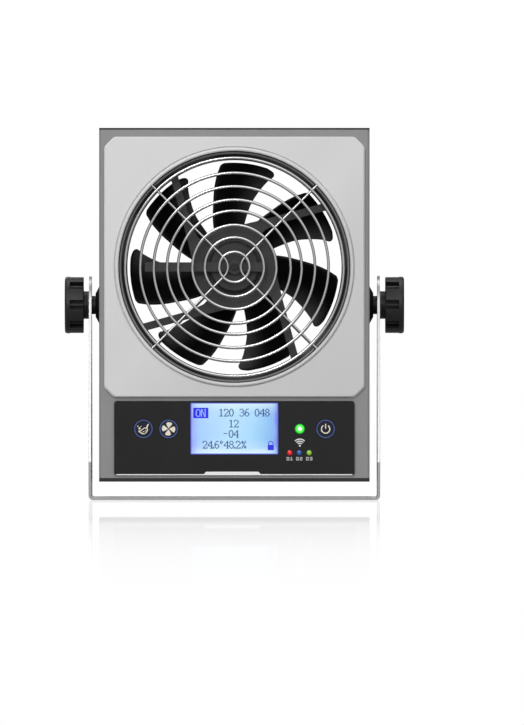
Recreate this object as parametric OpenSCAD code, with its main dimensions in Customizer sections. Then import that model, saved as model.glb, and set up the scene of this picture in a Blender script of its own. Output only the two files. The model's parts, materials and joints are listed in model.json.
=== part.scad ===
// Bench-top ionizing blower: a sheet-metal head with an axial fan, emitter needles and a
// control panel, hung between the arms of a U-shaped stand on two clamp knobs.
// X is across the front, -Y is the outlet side, Z is up. Millimetres.

/* [Head casing] */
// Width of the head casing
case_w = 150; // [148:1:154]
// Height of the head casing
case_h = 196.2; // [195:0.1:197]
// Depth of the head casing without the raised panels
case_d = 80; // [80:1:82]
// Sheet thickness of the grey front shell
shell_t = 1.2; // [1.0:0.1:1.3]
// Sheet thickness of the black rear shell
rear_t = 1.0; // [0.8:0.1:1.0]

/* [Outlet] */
// Height of the fan axis above the table
fan_z = 129.2; // [128.8:0.1:129.6]
// Side of the square outlet panel
panel_s = 144.4; // [143:0.1:146]
// Thickness of the outlet panel
panel_t = 2.0; // [1.6:0.1:2.2]
// Throat radius of the outlet panel
throat_r = 64.3; // [64:0.1:64.6]
// Wire diameter of the outlet guard's rings
wire_d = 1.6; // [1.2:0.1:1.6]
// Wire diameter of the outlet guard's spokes
spoke_d = 1.3; // [1.0:0.1:1.4]

/* [Fan] */
// Side of the square fan frame
fan_s = 127; // [125:1:128]
// Bore radius of the fan frame
bore_r = 59.6; // [59.2:0.1:60]
// Tip radius of the impeller
tip_r = 58.1; // [57:0.1:58.4]
// Number of impeller blades
blades = 7; // [5:1:7]
// Radius of the impeller hub
hub_r = 23.2; // [22.8:0.1:23.4]

/* [Control panel] */
// Width of the black control panel
ctl_w = 133.3; // [132:0.1:134]
// Height of the black control panel
ctl_h = 41.2; // [40:0.1:41.5]
// Radius of the round keys
key_r = 5.1; // [4.8:0.1:5.15]
// Travel of a key
key_travel = 0.5; // [0.3:0.1:0.5]

/* [Stand] */
// Outer width of the U-shaped stand
stand_w = 161.8; // [161.8:0.1:163]
// Sheet thickness of the stand
stand_t = 1.5; // [1.4:0.1:1.5]
// Depth of the stand's foot
stand_d = 76; // [70:1:80]
// Height of the tilt axis above the table
pivot_z = 108.2; // [108.2:0.1:109]
// Radius of the rounded arm ends
arm_r = 16.3; // [14:0.1:18]
// Radius of the clamp knobs
knob_r = 15.8; // [14:0.1:17]

/* [Hidden] */
$fn = 64;

hw = case_w / 2;               // half the casing width
yf = -case_d / 2;              // outer front face of the front shell
yb = case_d / 2;               // outer back face of the rear shell
z0 = pivot_z - case_h / 2;     // underside of the casing
z1 = pivot_z + case_h / 2;     // top of the casing
hem = 2 * rear_t;              // folded edge of the bottom leaf
yi = yf + shell_t;             // inner face of the front sheet
ring_front = yi + 0.05;        // front face of the emitter ring
fan_y0 = yi + 9.8;             // front face of the fan frame
fan_t = 38;                    // depth of the fan frame
fan_y1 = fan_y0 + fan_t;
hole_p = 113.3 / 2;            // fan hole pitch, half
wr = wire_d / 2;
sr = spoke_d / 2;
spoke_y = yi + 0.4 - sr;       // centre plane of the guard's spokes
ringw_y = spoke_y - sr - wr + 0.12; // centre plane of the guard's rings
guard_rings = [8.4, 16.4, 23.3, 31.2, 37.3, 44.7, 52.2, 60.55];
rear_guard_y = yb + 0.8;       // centre plane of the rear guard's spokes
needle_y = ring_front + 7.25;  // plane of the emitter needles
needle_tip = 48;
ctl_top = 54.9;
ctl_y0 = yf - 1.2;             // front face of the control panel
lcd_w = 48.6;
lcd_h = 28.6;
lcd_zc = 39.6;
key_z = 39.4;
key_clean_x = -50.4;
key_fan_x = -36.45;
key_power_x = 50.6;
led_x = 36.3;
mini_z = 26.2;
mini_x = [30.7, 36.0, 41.5];
mini_r = 1.5;
pcb_y = -31.9;                 // front face of the control board
arm_in = stand_w / 2 - stand_t; // inner face of a stand arm
arm_out = stand_w / 2;
jack_x = 34;
jack_z = 32;
gnd_x = 54;
gnd_z = 32;
case_screw_x = 68;
case_screw_z = [26, 108.2, 190];
panel_stud = 69;

// ---------- helpers ----------
// A cylinder along +Y from y0 to y1 at (x, z)
module ycyl(x, z, ya, yz, r, fn = 48) {
    translate([x, ya, z]) rotate([-90, 0, 0]) cylinder(h = yz - ya, r = r, $fn = fn);
}
// A cylinder along +X from xa to xb at (y, z)
module xcyl(y, z, xa, xb, r, fn = 48) {
    translate([xa, y, z]) rotate([0, 90, 0]) cylinder(h = xb - xa, r = r, $fn = fn);
}
// A cone along +X
module xcone(y, z, xa, xb, ra, rb, fn = 48) {
    translate([xa, y, z]) rotate([0, 90, 0]) cylinder(h = xb - xa, r1 = ra, r2 = rb, $fn = fn);
}
// A box by its two corners
module box(a, b) {
    translate(a) cube([b[0] - a[0], b[1] - a[1], b[2] - a[2]]);
}
// Children drawn around the fan axis: local z is +Y, local y points down
module at_fan() {
    translate([0, 0, fan_z]) rotate([-90, 0, 0]) children();
}
// A ring of revolution round the fan axis, profile points are [radius, y]
module turned(pts, fn = 96) {
    at_fan() rotate_extrude($fn = fn) polygon(pts);
}
// A rectangle with four rounded corners, centred
module rrect(w, h, r) {
    square([w - 2 * r, h], center = true);
    square([w, h - 2 * r], center = true);
    for (sx = [-1, 1], sy = [-1, 1])
        translate([sx * (w / 2 - r), sy * (h / 2 - r)]) circle(r = r, $fn = 32);
}
// A rounded plate facing -Y, centred at (x, z), from ya to yz
module face_plate(x, z, w, h, r, ya, yz) {
    translate([x, ya, z]) rotate([-90, 0, 0]) linear_extrude(yz - ya) rrect(w, h, r);
}
// The outlet panel's outline: a square with 6 mm rounded chamfers
module chamfered_square(s, c) {
    hull() for (sx = [-1, 1], sy = [-1, 1]) {
        translate([sx * (s / 2 - c - 1), sy * (s / 2 - 3.6)]) circle(r = 3.6, $fn = 32);
        translate([sx * (s / 2 - 3.6), sy * (s / 2 - c - 1)]) circle(r = 3.6, $fn = 32);
    }
}
// Points of an arc
function arc(cx, cy, r, a0, a1, n) =
    [for (i = [0:n]) [cx + r * cos(a0 + (a1 - a0) * i / n), cy + r * sin(a0 + (a1 - a0) * i / n)]];

// A tube swept along points, with its own frames from the path's directions
function unit(v) = v / norm(v);
function tangent(p, i) = unit(p[min(i + 1, len(p) - 1)] - p[max(i - 1, 0)]);
function side_of(t) = unit(cross(t, abs(t[2]) < 0.9 ? [0, 0, 1] : [0, 1, 0]));
module swept(p, r, n = 8) {
    pts = [for (i = [0:len(p) - 1]) let (t = tangent(p, i), u = side_of(t), v = cross(t, u))
        for (k = [0:n - 1]) p[i] + r * (cos(360 * k / n) * u + sin(360 * k / n) * v)];
    m = len(p);
    polyhedron(points = pts, convexity = 4, faces = concat(
        [[for (k = [0:n - 1]) k]],
        [for (i = [0:m - 2], k = [0:n - 1]) [i * n + k, (i + 1) * n + k, (i + 1) * n + (k + 1) % n]],
        [for (i = [0:m - 2], k = [0:n - 1]) [i * n + k, (i + 1) * n + (k + 1) % n, i * n + (k + 1) % n]],
        [[for (k = [n - 1:-1:0]) (m - 1) * n + k]]));
}
// A smooth curve through hand-picked points (Catmull-Rom)
function cr(p, i, t) = let (a = p[max(i - 1, 0)], b = p[i], c = p[i + 1], d = p[min(i + 2, len(p) - 1)])
    0.5 * ((2 * b) + (c - a) * t + (2 * a - 5 * b + 4 * c - d) * t * t + (3 * b - a - 3 * c + d) * t * t * t);
function smooth(p, n) = concat([for (i = [0:len(p) - 2], k = [0:n - 1]) cr(p, i, k / n)], [p[len(p) - 1]]);

// ---------- stand ----------
// Point where a line from p touches a circle, on the side s
function touch(p, c, r, s) = let (d = p - c, L = norm(d), a = acos(r / L), b = atan2(d[1], d[0]))
    c + r * [cos(b + s * a), sin(b + s * a)];
module stand_bracket() {
    h = pivot_z + arm_r;
    tr = touch([stand_d / 2, 21], [0, pivot_z], arm_r, 1);
    color("silver") difference() {
        intersection() {
            // U section, seen from the front
            rotate([90, 0, 0]) translate([0, 0, -stand_d / 2]) linear_extrude(stand_d) difference() {
                union() {
                    translate([-stand_w / 2, 2.5]) square([stand_w, h + 5]);
                    translate([-stand_w / 2 + 2.5, 0]) square([stand_w - 5, 6]);
                    for (s = [-1, 1]) translate([s * (stand_w / 2 - 2.5), 2.5]) circle(r = 2.5, $fn = 32);
                }
                translate([-stand_w / 2 + stand_t, 2.5]) square([stand_w - 2 * stand_t, h + 10]);
                translate([-stand_w / 2 + 2.5, stand_t]) square([stand_w - 5, 6]);
                for (s = [-1, 1]) translate([s * (stand_w / 2 - 2.5), 2.5]) circle(r = 2.5 - stand_t, $fn = 32);
            }
            // Arm outline, seen from the side: a broad foot, tapered arms, round ends
            translate([-stand_w, 0, 0]) rotate([90, 0, 90]) linear_extrude(2 * stand_w) union() {
                polygon([[-stand_d / 2, 0], [stand_d / 2, 0], [stand_d / 2, 21], [tr[0], tr[1]],
                    [-tr[0], tr[1]], [-stand_d / 2, 21]]);
                translate([0, pivot_z]) circle(r = arm_r, $fn = 96);
            }
        }
        xcyl(0, pivot_z, -stand_w, stand_w, 3.25);
        for (sx = [-50, 50], sy = [-20, 20]) translate([sx, sy, -1]) cylinder(h = 5, r = 2.6, $fn = 48);
    }
}

// ---------- casing ----------
module front_shell() {
    zb = z0 + hem;
    zt = z1 - rear_t;
    color([0.57, 0.57, 0.57]) difference() {
        union() {
            // Face, sides and rear flanges as one bent sheet
            translate([0, 0, zb]) linear_extrude(zt - zb) difference() {
                union() {
                    translate([-hw + 1.6, yf]) square([case_w - 3.2, 4]);
                    translate([-hw, yf + 1.6]) square([case_w, case_d - 1.6 - rear_t]);
                    for (s = [-1, 1]) translate([s * (hw - 1.6), yf + 1.6]) circle(r = 1.6, $fn = 32);
                }
                translate([-hw + shell_t, yi]) square([case_w - 2 * shell_t, case_d - rear_t - 2 * shell_t]);
                translate([-62, 20]) square([124, 60]);
            }
            // Return flanges along the top and bottom of the face
            box([-hw + shell_t, yi - 0.1, zt - shell_t], [hw - shell_t, yi + 8, zt]);
            box([-hw + shell_t, yi - 0.1, zb], [hw - shell_t, yi + 8, zb + shell_t]);
        }
        // Outlet
        ycyl(0, fan_z, yf - 1, yi + 1, 66.2, 96);
        // Display window, keys and lamps
        face_plate(0, lcd_zc, 52.4, 30.4, 0.6, yf - 1, yi + 1);
        for (x = [key_clean_x, key_fan_x, key_power_x]) ycyl(x, key_z, yf - 1, yi + 1, 5.4);
        ycyl(led_x, key_z, yf - 1, yi + 1, 3.1);
        for (x = mini_x) ycyl(x, mini_z, yf - 1, yi + 1, 1.7, 32);
        // Room for the rear shell's top bend
        box([-hw - 1, yb - rear_t - 1.05, zt - 1.05], [hw + 1, yb, zt + 1]);
        // Fan screws, panel studs, rear screws, tilt sleeves
        for (sx = [-1, 1], sz = [-1, 1]) {
            ycyl(sx * hole_p, fan_z + sz * hole_p, yf - 1, yi + 1, 2.05, 32);
            ycyl(sx * panel_stud, fan_z + sz * 66, yf - 1, yi + 1, 1.7, 32);
        }
        for (x = [-50, 50]) ycyl(x, 18, yf - 1, yi + 1, 1.7, 32);
        for (s = [-1, 1], z = case_screw_z) ycyl(s * case_screw_x, z, yb - 6, yb + 1, 1.53, 32);
        xcyl(0, pivot_z, -hw - 1, hw + 1, 4.7);
    }
}

module rear_shell() {
    color([0.06, 0.06, 0.065]) difference() {
        union() {
            // Top leaf, back and bottom leaf as one bent sheet
            translate([-hw, 0, 0]) rotate([90, 0, 90]) linear_extrude(case_w) difference() {
                union() {
                    translate([yf, z0]) square([case_d - 2, case_h]);
                    translate([yf, z0 + 2]) square([case_d, case_h - 4]);
                    for (z = [z0 + 2, z1 - 2]) translate([yb - 2, z]) circle(r = 2, $fn = 32);
                }
                translate([yf - 1, z0 + rear_t]) square([case_d + 1 - 2, case_h - 2 * rear_t]);
                translate([yf - 1, z0 + 2]) square([case_d + 1 - rear_t, case_h - 4]);
                for (z = [z0 + 2, z1 - 2]) translate([yb - 2, z]) circle(r = 2 - rear_t, $fn = 32);
            }
            // Hemmed edges of the bottom leaf
            box([-hw, yf, z0 + rear_t - 0.1], [hw, yf + 8, z0 + hem - 0.02]);
            for (s = [-1, 1]) box([s > 0 ? hw - 8 : -hw, yf, z0 + rear_t - 0.1],
                [s > 0 ? hw : -hw + 8, yb - 3, z0 + hem - 0.02]);
        }
        ycyl(0, fan_z, yb - 5, yb + 1, 60.4, 96);
        for (sx = [-1, 1], sz = [-1, 1]) ycyl(sx * hole_p, fan_z + sz * hole_p, yb - 5, yb + 1, 1.53, 32);
        for (s = [-1, 1], z = case_screw_z) ycyl(s * case_screw_x, z, yb - 5, yb + 1, 1.7, 32);
        ycyl(jack_x, jack_z, yb - 5, yb + 1, 5.05);
        ycyl(gnd_x, gnd_z, yb - 5, yb + 1, 2.1, 32);
    }
}

// Raised light-grey plate round the outlet, with a rolled lip and four studs on its back
module front_panel() {
    y0 = yf - panel_t;
    color([0.83, 0.83, 0.83]) union() {
        difference() {
            union() {
                translate([0, yf, fan_z]) rotate([90, 0, 0]) linear_extrude(panel_t - 0.6) chamfered_square(panel_s, 6);
                translate([0, yf - panel_t + 0.6, fan_z]) rotate([90, 0, 0]) linear_extrude(0.6) chamfered_square(panel_s - 1, 6);
            }
            ycyl(0, fan_z, yf - 10, yf + 10, 66, 96);
            // Narrow groove round the lip
            turned([[66.2, y0 - 1], [66.8, y0 - 1], [66.8, y0 + 0.6], [66.2, y0 + 0.6]]);
        }
        // Lip: crest 1 mm in front of the plate, rolled into the throat
        turned(concat([[66.3, yf]], arc(65.3, y0, 1, 0, -180, 12), [[throat_r, yf]]));
        for (sx = [-1, 1], sz = [-1, 1]) ycyl(sx * panel_stud, fan_z + sz * 66, yf - 0.3, yf + 5.6, 1.5, 32);
    }
}

// Black facia over the display, keys and lamps
module control_panel() {
    zc = ctl_top - ctl_h / 2;
    color([0.18, 0.18, 0.18]) union() {
        difference() {
            face_plate(0, zc, ctl_w, ctl_h, 1.6, ctl_y0, yf);
            face_plate(0, lcd_zc, lcd_w, lcd_h, 0.4, ctl_y0 - 1, yf + 1);
            for (x = [key_clean_x, key_fan_x, key_power_x]) ycyl(x, key_z, ctl_y0 - 1, yf + 1, 5.3);
            ycyl(led_x, key_z, ctl_y0 - 1, yf + 1, 2.85);
            for (x = mini_x) ycyl(x, mini_z, ctl_y0 - 1, yf + 1, 1.56, 32);
        }
        for (x = [-50, 50]) ycyl(x, 18, yf - 0.3, yf + 5.6, 1.5, 32);
    }
}

// ---------- display and keys ----------
module lcd_lens() {
    color([0.75, 0.88, 1, 0.5]) union() {
        face_plate(0, lcd_zc, lcd_w - 0.1, lcd_h - 0.1, 0.4, ctl_y0 + 0.05, yf + 0.1);
        face_plate(0, lcd_zc, 52, 30, 0.5, yf + 0.02, yi - 0.05);
    }
}
module lcd_module() {
    color([0.35, 0.6, 0.85]) union() {
        box([-26.4, yi + 0.05, 24.2], [26.4, yi + 0.65, 55]);
        box([-28, yi + 0.65, 21], [28, yi + 4.6, 58]);
        for (x = [-24, 24]) box([x - 1.5, yi + 4.5, 22.5], [x + 1.5, pcb_y, 25.5]);
    }
}
module control_board() {
    color([0.05, 0.33, 0.2]) difference() {
        union() {
            box([-67, pcb_y, 15.6], [67, pcb_y + 1.6, 59]);
            box([-12, pcb_y + 1.6, 30], [0, pcb_y + 3, 42]);
            box([12, pcb_y + 1.6, 36], [30, pcb_y + 4.4, 50]);
            box([-58, pcb_y + 1.6, 20], [-34, pcb_y + 6.4, 27]);
        }
        for (x = [-63, 63], z = [22.5, 55]) ycyl(x, z, pcb_y - 1, pcb_y + 3, 1.6, 32);
    }
}
module standoff_y(x, z) {
    difference() {
        ycyl(x, z, yi, pcb_y, 2.6, 6);
        ycyl(x, z, yi + 1.5, pcb_y + 1, 1.53, 32);
    }
}
module board_standoffs() {
    color("goldenrod") {
        for (x = [-63, 63], z = [22.5, 55]) standoff_y(x, z);
        for (x = [9, 62], y = [-16, 30]) translate([x, y, z0 + rear_t]) difference() {
            cylinder(h = 9, r = 2.6, $fn = 6);
            translate([0, 0, 1.5]) cylinder(h = 10, r = 1.53, $fn = 32);
        }
    }
}
module board_screws() {
    color("silver") {
        for (x = [-63, 63], z = [22.5, 55]) {
            ycyl(x, z, pcb_y - 4, pcb_y + 1.65, 1.48, 32);
            ycyl(x, z, pcb_y + 1.6, pcb_y + 3.4, 2.75, 32);
        }
        for (x = [9, 62], y = [-16, 30]) translate([x, y, 0]) {
            translate([0, 0, z0 + rear_t + 5]) cylinder(h = 5.65, r = 1.48, $fn = 32);
            translate([0, 0, z0 + rear_t + 10.6]) cylinder(h = 1.8, r = 2.75, $fn = 32);
        }
    }
}
// Three 6 mm tactile switches whose wells take the keys' stems
module tact_switches() {
    color([0.1, 0.1, 0.1]) for (x = [key_clean_x, key_fan_x, key_power_x]) difference() {
        box([x - 3, pcb_y - 3.5, key_z - 3], [x + 3, pcb_y, key_z + 3]);
        ycyl(x, key_z, pcb_y - 4, pcb_y - 1.6, 1.8, 32);
    }
}
// A push key: domed cap, retaining collar and stem
module key(x) {
    yk = ctl_y0 - 0.4;
    translate([x, 0, key_z]) rotate([-90, 0, 0]) rotate_extrude($fn = 64) polygon(concat(
        [[0, yk], [key_r - 0.5, yk]], arc(key_r - 0.4, yk + 0.4, 0.4, -90, 0, 4),
        [[key_r, yi + 0.05], [6.2, yi + 0.05], [6.2, yi + 1.0], [1.6, yi + 1.0],
        [1.6, pcb_y - 2.3], [0, pcb_y - 2.3]]));
}
module key_clean() { color([0.1, 0.12, 0.2]) key(key_clean_x); }
module key_fan() { color([0.1, 0.12, 0.2]) key(key_fan_x); }
module key_power() { color([0.1, 0.12, 0.2]) key(key_power_x); }
// A round lamp with a domed front, a collar and two leads
module lamp(x, z, r, proud, dome) {
    yt = ctl_y0 - proud;
    translate([x, 0, z]) rotate([-90, 0, 0]) rotate_extrude($fn = 48) polygon(concat(
        [[0, yt]], [for (i = [1:6]) [r * sin(15 * i), yt + dome * (1 - cos(15 * i))]],
        [[r, yi + 2.6], [r + 0.4, yi + 2.6], [r + 0.4, yi + 3.6], [0, yi + 3.6]]));
    for (s = [-1, 1]) ycyl(x + s * 0.9, z, yi + 3.5, pcb_y, 0.3, 16);
}
module status_led() { color([0.2, 0.9, 0.2]) lamp(led_x, key_z, 2.75, 0.7, 1.5); }
module led_red() { color([0.85, 0.1, 0.1]) lamp(mini_x[0], mini_z, 1.45, 0.2, 0.5); }
module led_blue() { color([0.1, 0.3, 0.7]) lamp(mini_x[1], mini_z, 1.45, 0.2, 0.5); }
module led_green() { color([0.4, 0.75, 0.15]) lamp(mini_x[2], mini_z, 1.45, 0.2, 0.5); }

// ---------- outlet guard, emitter ----------
// One of the guard's two bent wires: two spokes joined by a bend beside the axis,
// with a small weld bead where each bend runs into its spoke
module bent_wire(s, y, r_end, w) {
    rb = 7.5;                       // bend radius
    cx = s * (3.6 + rb);            // bend centre
    at_fan() translate([0, 0, y]) {
        translate([cx, 0, 0]) rotate([0, 0, s > 0 ? 135 : -45]) rotate_extrude(angle = 90, $fn = 96)
            translate([rb, 0]) circle(r = w, $fn = 24);
        for (k = [-1, 1]) translate([cx - s * rb * cos(45), k * rb * sin(45), 0])
            rotate([0, 0, s > 0 ? k * 45 : 180 - k * 45]) {
                sphere(r = w * 1.07, $fn = 32);
                rotate([0, 90, 0]) translate([0, 0, 0.05]) cylinder(h = r_end - 7.9, r = w, $fn = 24);
            }
    }
}
module guard_ring(r, y, w) {
    at_fan() translate([0, 0, y]) rotate_extrude($fn = 96) translate([r, 0]) circle(r = w, $fn = 24);
}
module outlet_guard() {
    color([0.85, 0.85, 0.85]) union() {
        for (r = guard_rings) guard_ring(r, ringw_y, wr);
        for (s = [-1, 1]) bent_wire(s, spoke_y, 65.2, sr);
    }
}
// Rear guard with four straight spokes, each ending in a flat screw eye
module intake_guard() {
    w = 0.65;
    yr = rear_guard_y;
    color([0.75, 0.75, 0.75]) difference() {
        union() {
            for (r = guard_rings) guard_ring(r * 1.008, yr + 1.18, w);
            at_fan() for (a = [45:90:315]) rotate([0, 0, a]) {
                translate([8, 0, yr]) rotate([0, 90, 0]) cylinder(h = 68.6, r = w, $fn = 24);
                translate([80.12, 0, yr - 0.79]) cylinder(h = 1.5, r = 4.2, $fn = 32);
            }
        }
        for (sx = [-1, 1], sz = [-1, 1]) ycyl(sx * hole_p, fan_z + sz * hole_p, yr - 3, yr + 3, 1.8, 32);
    }
}
// Insulating ring that carries the needles, the bus wires and the guard's spokes
module emitter_ring() {
    yb2 = fan_y0 - 0.05;
    color([0.2, 0.2, 0.2]) difference() {
        union() {
            turned(concat([[62.7, ring_front]], arc(63.45, ring_front, 0.5, 180, 360, 8), [[69, ring_front], [69, yb2], [60.1, yb2], [60.1, yb2 - 2.5]]));
            at_fan() for (a = [45:90:315]) rotate([0, 0, a]) translate([0, 0, ring_front]) linear_extrude(yb2 - ring_front) union() {
                translate([67, -5.5]) square([80.12 - 67, 11]);
                translate([80.12, 0]) circle(r = 5.5, $fn = 48);
            }
        }
        // Spoke slots
        at_fan() for (a = [45:90:315]) rotate([0, 0, a])
            translate([61, -sr - 0.2, ring_front - 1]) cube([4.9, spoke_d + 0.4, 1.5]);
        // Screw holes, needle holes, bus groove in the back face, lead notches
        for (sx = [-1, 1], sz = [-1, 1]) ycyl(sx * hole_p, fan_z + sz * hole_p, ring_front - 1, yb2 + 1, 2.2, 32);
        at_fan() for (a = [45:90:315]) rotate([0, 0, a]) translate([59, 0, needle_y]) rotate([0, 90, 0])
            cylinder(h = 7, r = 0.56, $fn = 24);
        turned([[65, needle_y - 1.1], [67.2, needle_y - 1.1], [67.2, yb2 + 1], [65, yb2 + 1]]);
        for (x = [-20, 20]) box([x - 1.6, needle_y - 1.1, fan_z - 75], [x + 1.6, yb2 + 1, fan_z - 61]);
    }
}
module emitter_needles() {
    color([0.7, 0.7, 0.72]) at_fan() for (a = [45:90:315]) rotate([0, 0, a])
        translate([needle_tip, 0, needle_y]) rotate([0, 90, 0]) {
            cylinder(h = 4, r1 = 0.06, r2 = 0.5, $fn = 24);
            translate([0, 0, 4]) cylinder(h = 65.25 - needle_tip - 4, r = 0.5, $fn = 24);
        }
}
// Positive bus on the left needles, negative bus on the right needles
module hv_bus_wires() {
    color("peru") at_fan() for (a = [133, -47]) rotate([0, 0, a]) translate([0, 0, needle_y])
        rotate_extrude(angle = 94, $fn = 96) translate([66.1, 0]) circle(r = 0.8, $fn = 24);
}
module hv_module() {
    color([0.12, 0.12, 0.13]) union() {
        box([-64, -4, z0 + rear_t], [-8, 28, z0 + rear_t + 28]);
        for (x = [-50, -22]) translate([x, 4, z0 + rear_t + 27]) cylinder(h = 5, r = 3.2, $fn = 32);
    }
}
hv_path_a = [[-50, 4, 43.25], [-50, 4, 46], [-49.5, 2, 51], [-44, -6, 57], [-32, -18, 58.5], [-23, -26, 58.5], [-20, -28.7, 61.3], [-20, -30.3, 63.2], [-20, -30.6, 64.8]];
hv_path_b = [[-22, 4, 43.25], [-22, 4, 46], [-21, 2, 51], [-14, -4, 56], [2, -15, 58.5], [15, -25, 58.5], [20, -28.7, 61.3], [20, -30.3, 63.2], [20, -30.6, 64.8]];
module hv_leads() {
    color("firebrick") { swept(smooth(hv_path_a, 5), 1.3); swept(smooth(hv_path_b, 5), 1.3); }
}
module main_board() {
    zb = z0 + rear_t + 9;
    color([0.05, 0.33, 0.2]) difference() {
        union() {
            box([5, -20, zb], [66, 34, zb + 1.6]);
            box([12, -12, zb + 1.6], [26, 2, zb + 12]);
            box([45, -13.5, zb + 1.6], [58.5, -7.5, zb + 9]);
            translate([52, 8, zb + 1.6]) cylinder(h = 9, r = 7, $fn = 48);
            box([12, 24, zb + 1.6], [22, 33, zb + 8]);
        }
        for (x = [9, 62], y = [-16, 30]) translate([x, y, zb - 1]) cylinder(h = 4, r = 1.6, $fn = 32);
        translate([52, 8, zb + 2]) cylinder(h = 20, r = 3, $fn = 32);
    }
}
module board_capacitors() {
    zb = z0 + rear_t + 10.6;
    color([0.1, 0.15, 0.35]) for (p = [[33, -6, 5, 18], [33, 7, 5, 18], [33, 20, 4, 14]])
        translate([p[0], p[1], zb]) cylinder(h = p[3], r = p[2], $fn = 40);
}

// ---------- fan ----------
// Square housing with a round bore, flared at both mouths
module fan_frame() {
    y0 = fan_y0;
    y1 = fan_y1;
    color([0.23, 0.23, 0.235]) difference() {
        at_fan() translate([0, 0, y0]) linear_extrude(fan_t) rrect(fan_s, fan_s, 7);
        turned([[0, y0 - 1], [60, y0 - 1], [60, y0], [bore_r, y0 + 3], [bore_r, y1 - 6], [62, y1], [62, y1 + 1], [0, y1 + 1]]);
        for (sx = [-1, 1], sz = [-1, 1]) ycyl(sx * hole_p, fan_z + sz * hole_p, y0 - 1, y1 + 1, 2.2, 32);
        // Notches for the feet of the motor mount's arms
        at_fan() translate([0, 0, y0 - 1]) linear_extrude(5.05) for (k = [0:3]) rotate(-15.4 + 90 * k)
            translate([50, -18.9 - 2.2]) square([12.5, 4.4]);
    }
}
// Motor mount: round base with a bearing tube, and four arms, each 19 mm off the axis
module motor_mount() {
    y0 = fan_y0;
    color([0.23, 0.23, 0.235]) difference() {
        union() {
            ycyl(0, fan_z, y0, y0 + 2.6, 23.6, 96);
            ycyl(0, fan_z, y0 + 2, y0 + 22, 5.4);
            at_fan() translate([0, 0, y0]) linear_extrude(4) for (k = [0:3]) rotate(-15.4 + 90 * k) translate([0, -18.9])
                polygon([[-6, 8], [-6, -2.4], [12, -2.6], [24, -2.15], [62.4, -2.15], [62.4, 2.15], [30, 2.15], [22, 3.6], [14, 8]]);
        }
        // Room for the drive board behind the base
        turned([[5.45, y0 + 2.6], [20.6, y0 + 2.6], [20.6, y0 + 5], [5.45, y0 + 5]]);
        // Recess and ring groove in the base's face, bearing seat
        turned([[0, y0 - 1], [14.2, y0 - 1], [14.2, y0 + 0.6], [0, y0 + 0.6]]);
        turned([[14.9, y0 - 1], [15.6, y0 - 1], [15.6, y0 + 0.5], [14.9, y0 + 0.5]]);
        ycyl(0, fan_z, y0 + 3, y0 + 23, 4.02);
    }
}
module fan_stator() {
    y0 = fan_y0;
    color([0.55, 0.55, 0.58]) difference() {
        union() {
            ycyl(0, fan_z, y0 + 6.5, y0 + 18.5, 9);
            at_fan() translate([0, 0, y0 + 6.5]) for (a = [0:60:300]) rotate([0, 0, a]) {
                translate([7, -1.8, 0]) cube([8.6, 3.6, 12]);
                intersection() {
                    difference() { cylinder(h = 12, r = 16.8, $fn = 96); translate([0, 0, -1]) cylinder(h = 14, r = 14.6, $fn = 96); }
                    translate([12, -7, 0]) cube([8, 14, 12]);
                }
            }
        }
        ycyl(0, fan_z, y0 + 5, y0 + 20, 5.45);
    }
}
module stator_windings() {
    color("chocolate") at_fan() translate([0, 0, fan_y0 + 5]) for (a = [0:60:300]) rotate([0, 0, a]) difference() {
        translate([9.6, -3.7, 0]) cube([4.3, 7.4, 15]);
        translate([8.6, -1.85, 1.45]) cube([6, 3.7, 12.1]);
    }
}
module fan_drive_board() {
    color([0.05, 0.33, 0.2]) difference() {
        union() {
            ycyl(0, fan_z, fan_y0 + 3.1, fan_y0 + 4.3, 19);
            box([8, fan_y0 + 2.65, fan_z + 8], [12, fan_y0 + 3.2, fan_z + 11]);
        }
        ycyl(0, fan_z, fan_y0 + 2, fan_y0 + 6, 5.6);
    }
}
module fan_bearings() {
    color("silver") for (y = [fan_y0 + 4, fan_y0 + 17]) difference() {
        ycyl(0, fan_z, y, y + 4, 4);
        ycyl(0, fan_z, y - 1, y + 5, 1.53, 32);
        difference() {
            ycyl(0, fan_z, y - 1, y + 0.5, 3.3, 32);
            ycyl(0, fan_z, y - 2, y + 1, 2.3, 32);
        }
    }
}
module fan_shaft() { color("silver") ycyl(0, fan_z, fan_y0 + 3.6, fan_y0 + 30.5, 1.5, 32); }

// Blade edges in the front view: clockwise angles from 12 o'clock at a few radii
blade_r = [22, 29, 36.5, 44.5, 52, 55, 57.2, tip_r];
trail_a = [-29, -23.5, -18.2, -14.2, -10.4, -8.6, -7.2, -5.2];
lead_a = [12.0, 12.8, 14.3, 17.7, 21.3, 23.2, 21.8, 18.0];
blade_n = 8;
function blade_pt(i, s, side) = let (r = blade_r[i], ss = s,
    w = lead_a[i] - trail_a[i], y_front = fan_y0 + 6.2, y_back = fan_y0 + 33.5,
    dy = (y_back - y_front) * (0.9 + 0.1 * i / 7), ys = y_front + (27.3 - dy) / 2,
    a = trail_a[i] + w * ss, y = ys + dy * ss + 10 * ss * (1 - ss),
    da = w * PI / 180 * r, dd = dy + 10 * (1 - 2 * ss), L = sqrt(da * da + dd * dd),
    t = (0.55 + 1.0 * sqrt(max(0, 4 * ss * (1 - ss)))) * side,
    aa = a - t * dd / L / r * 180 / PI, yy = y + t * da / L)
    [r * sin(aa), -r * cos(aa), yy];
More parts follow.
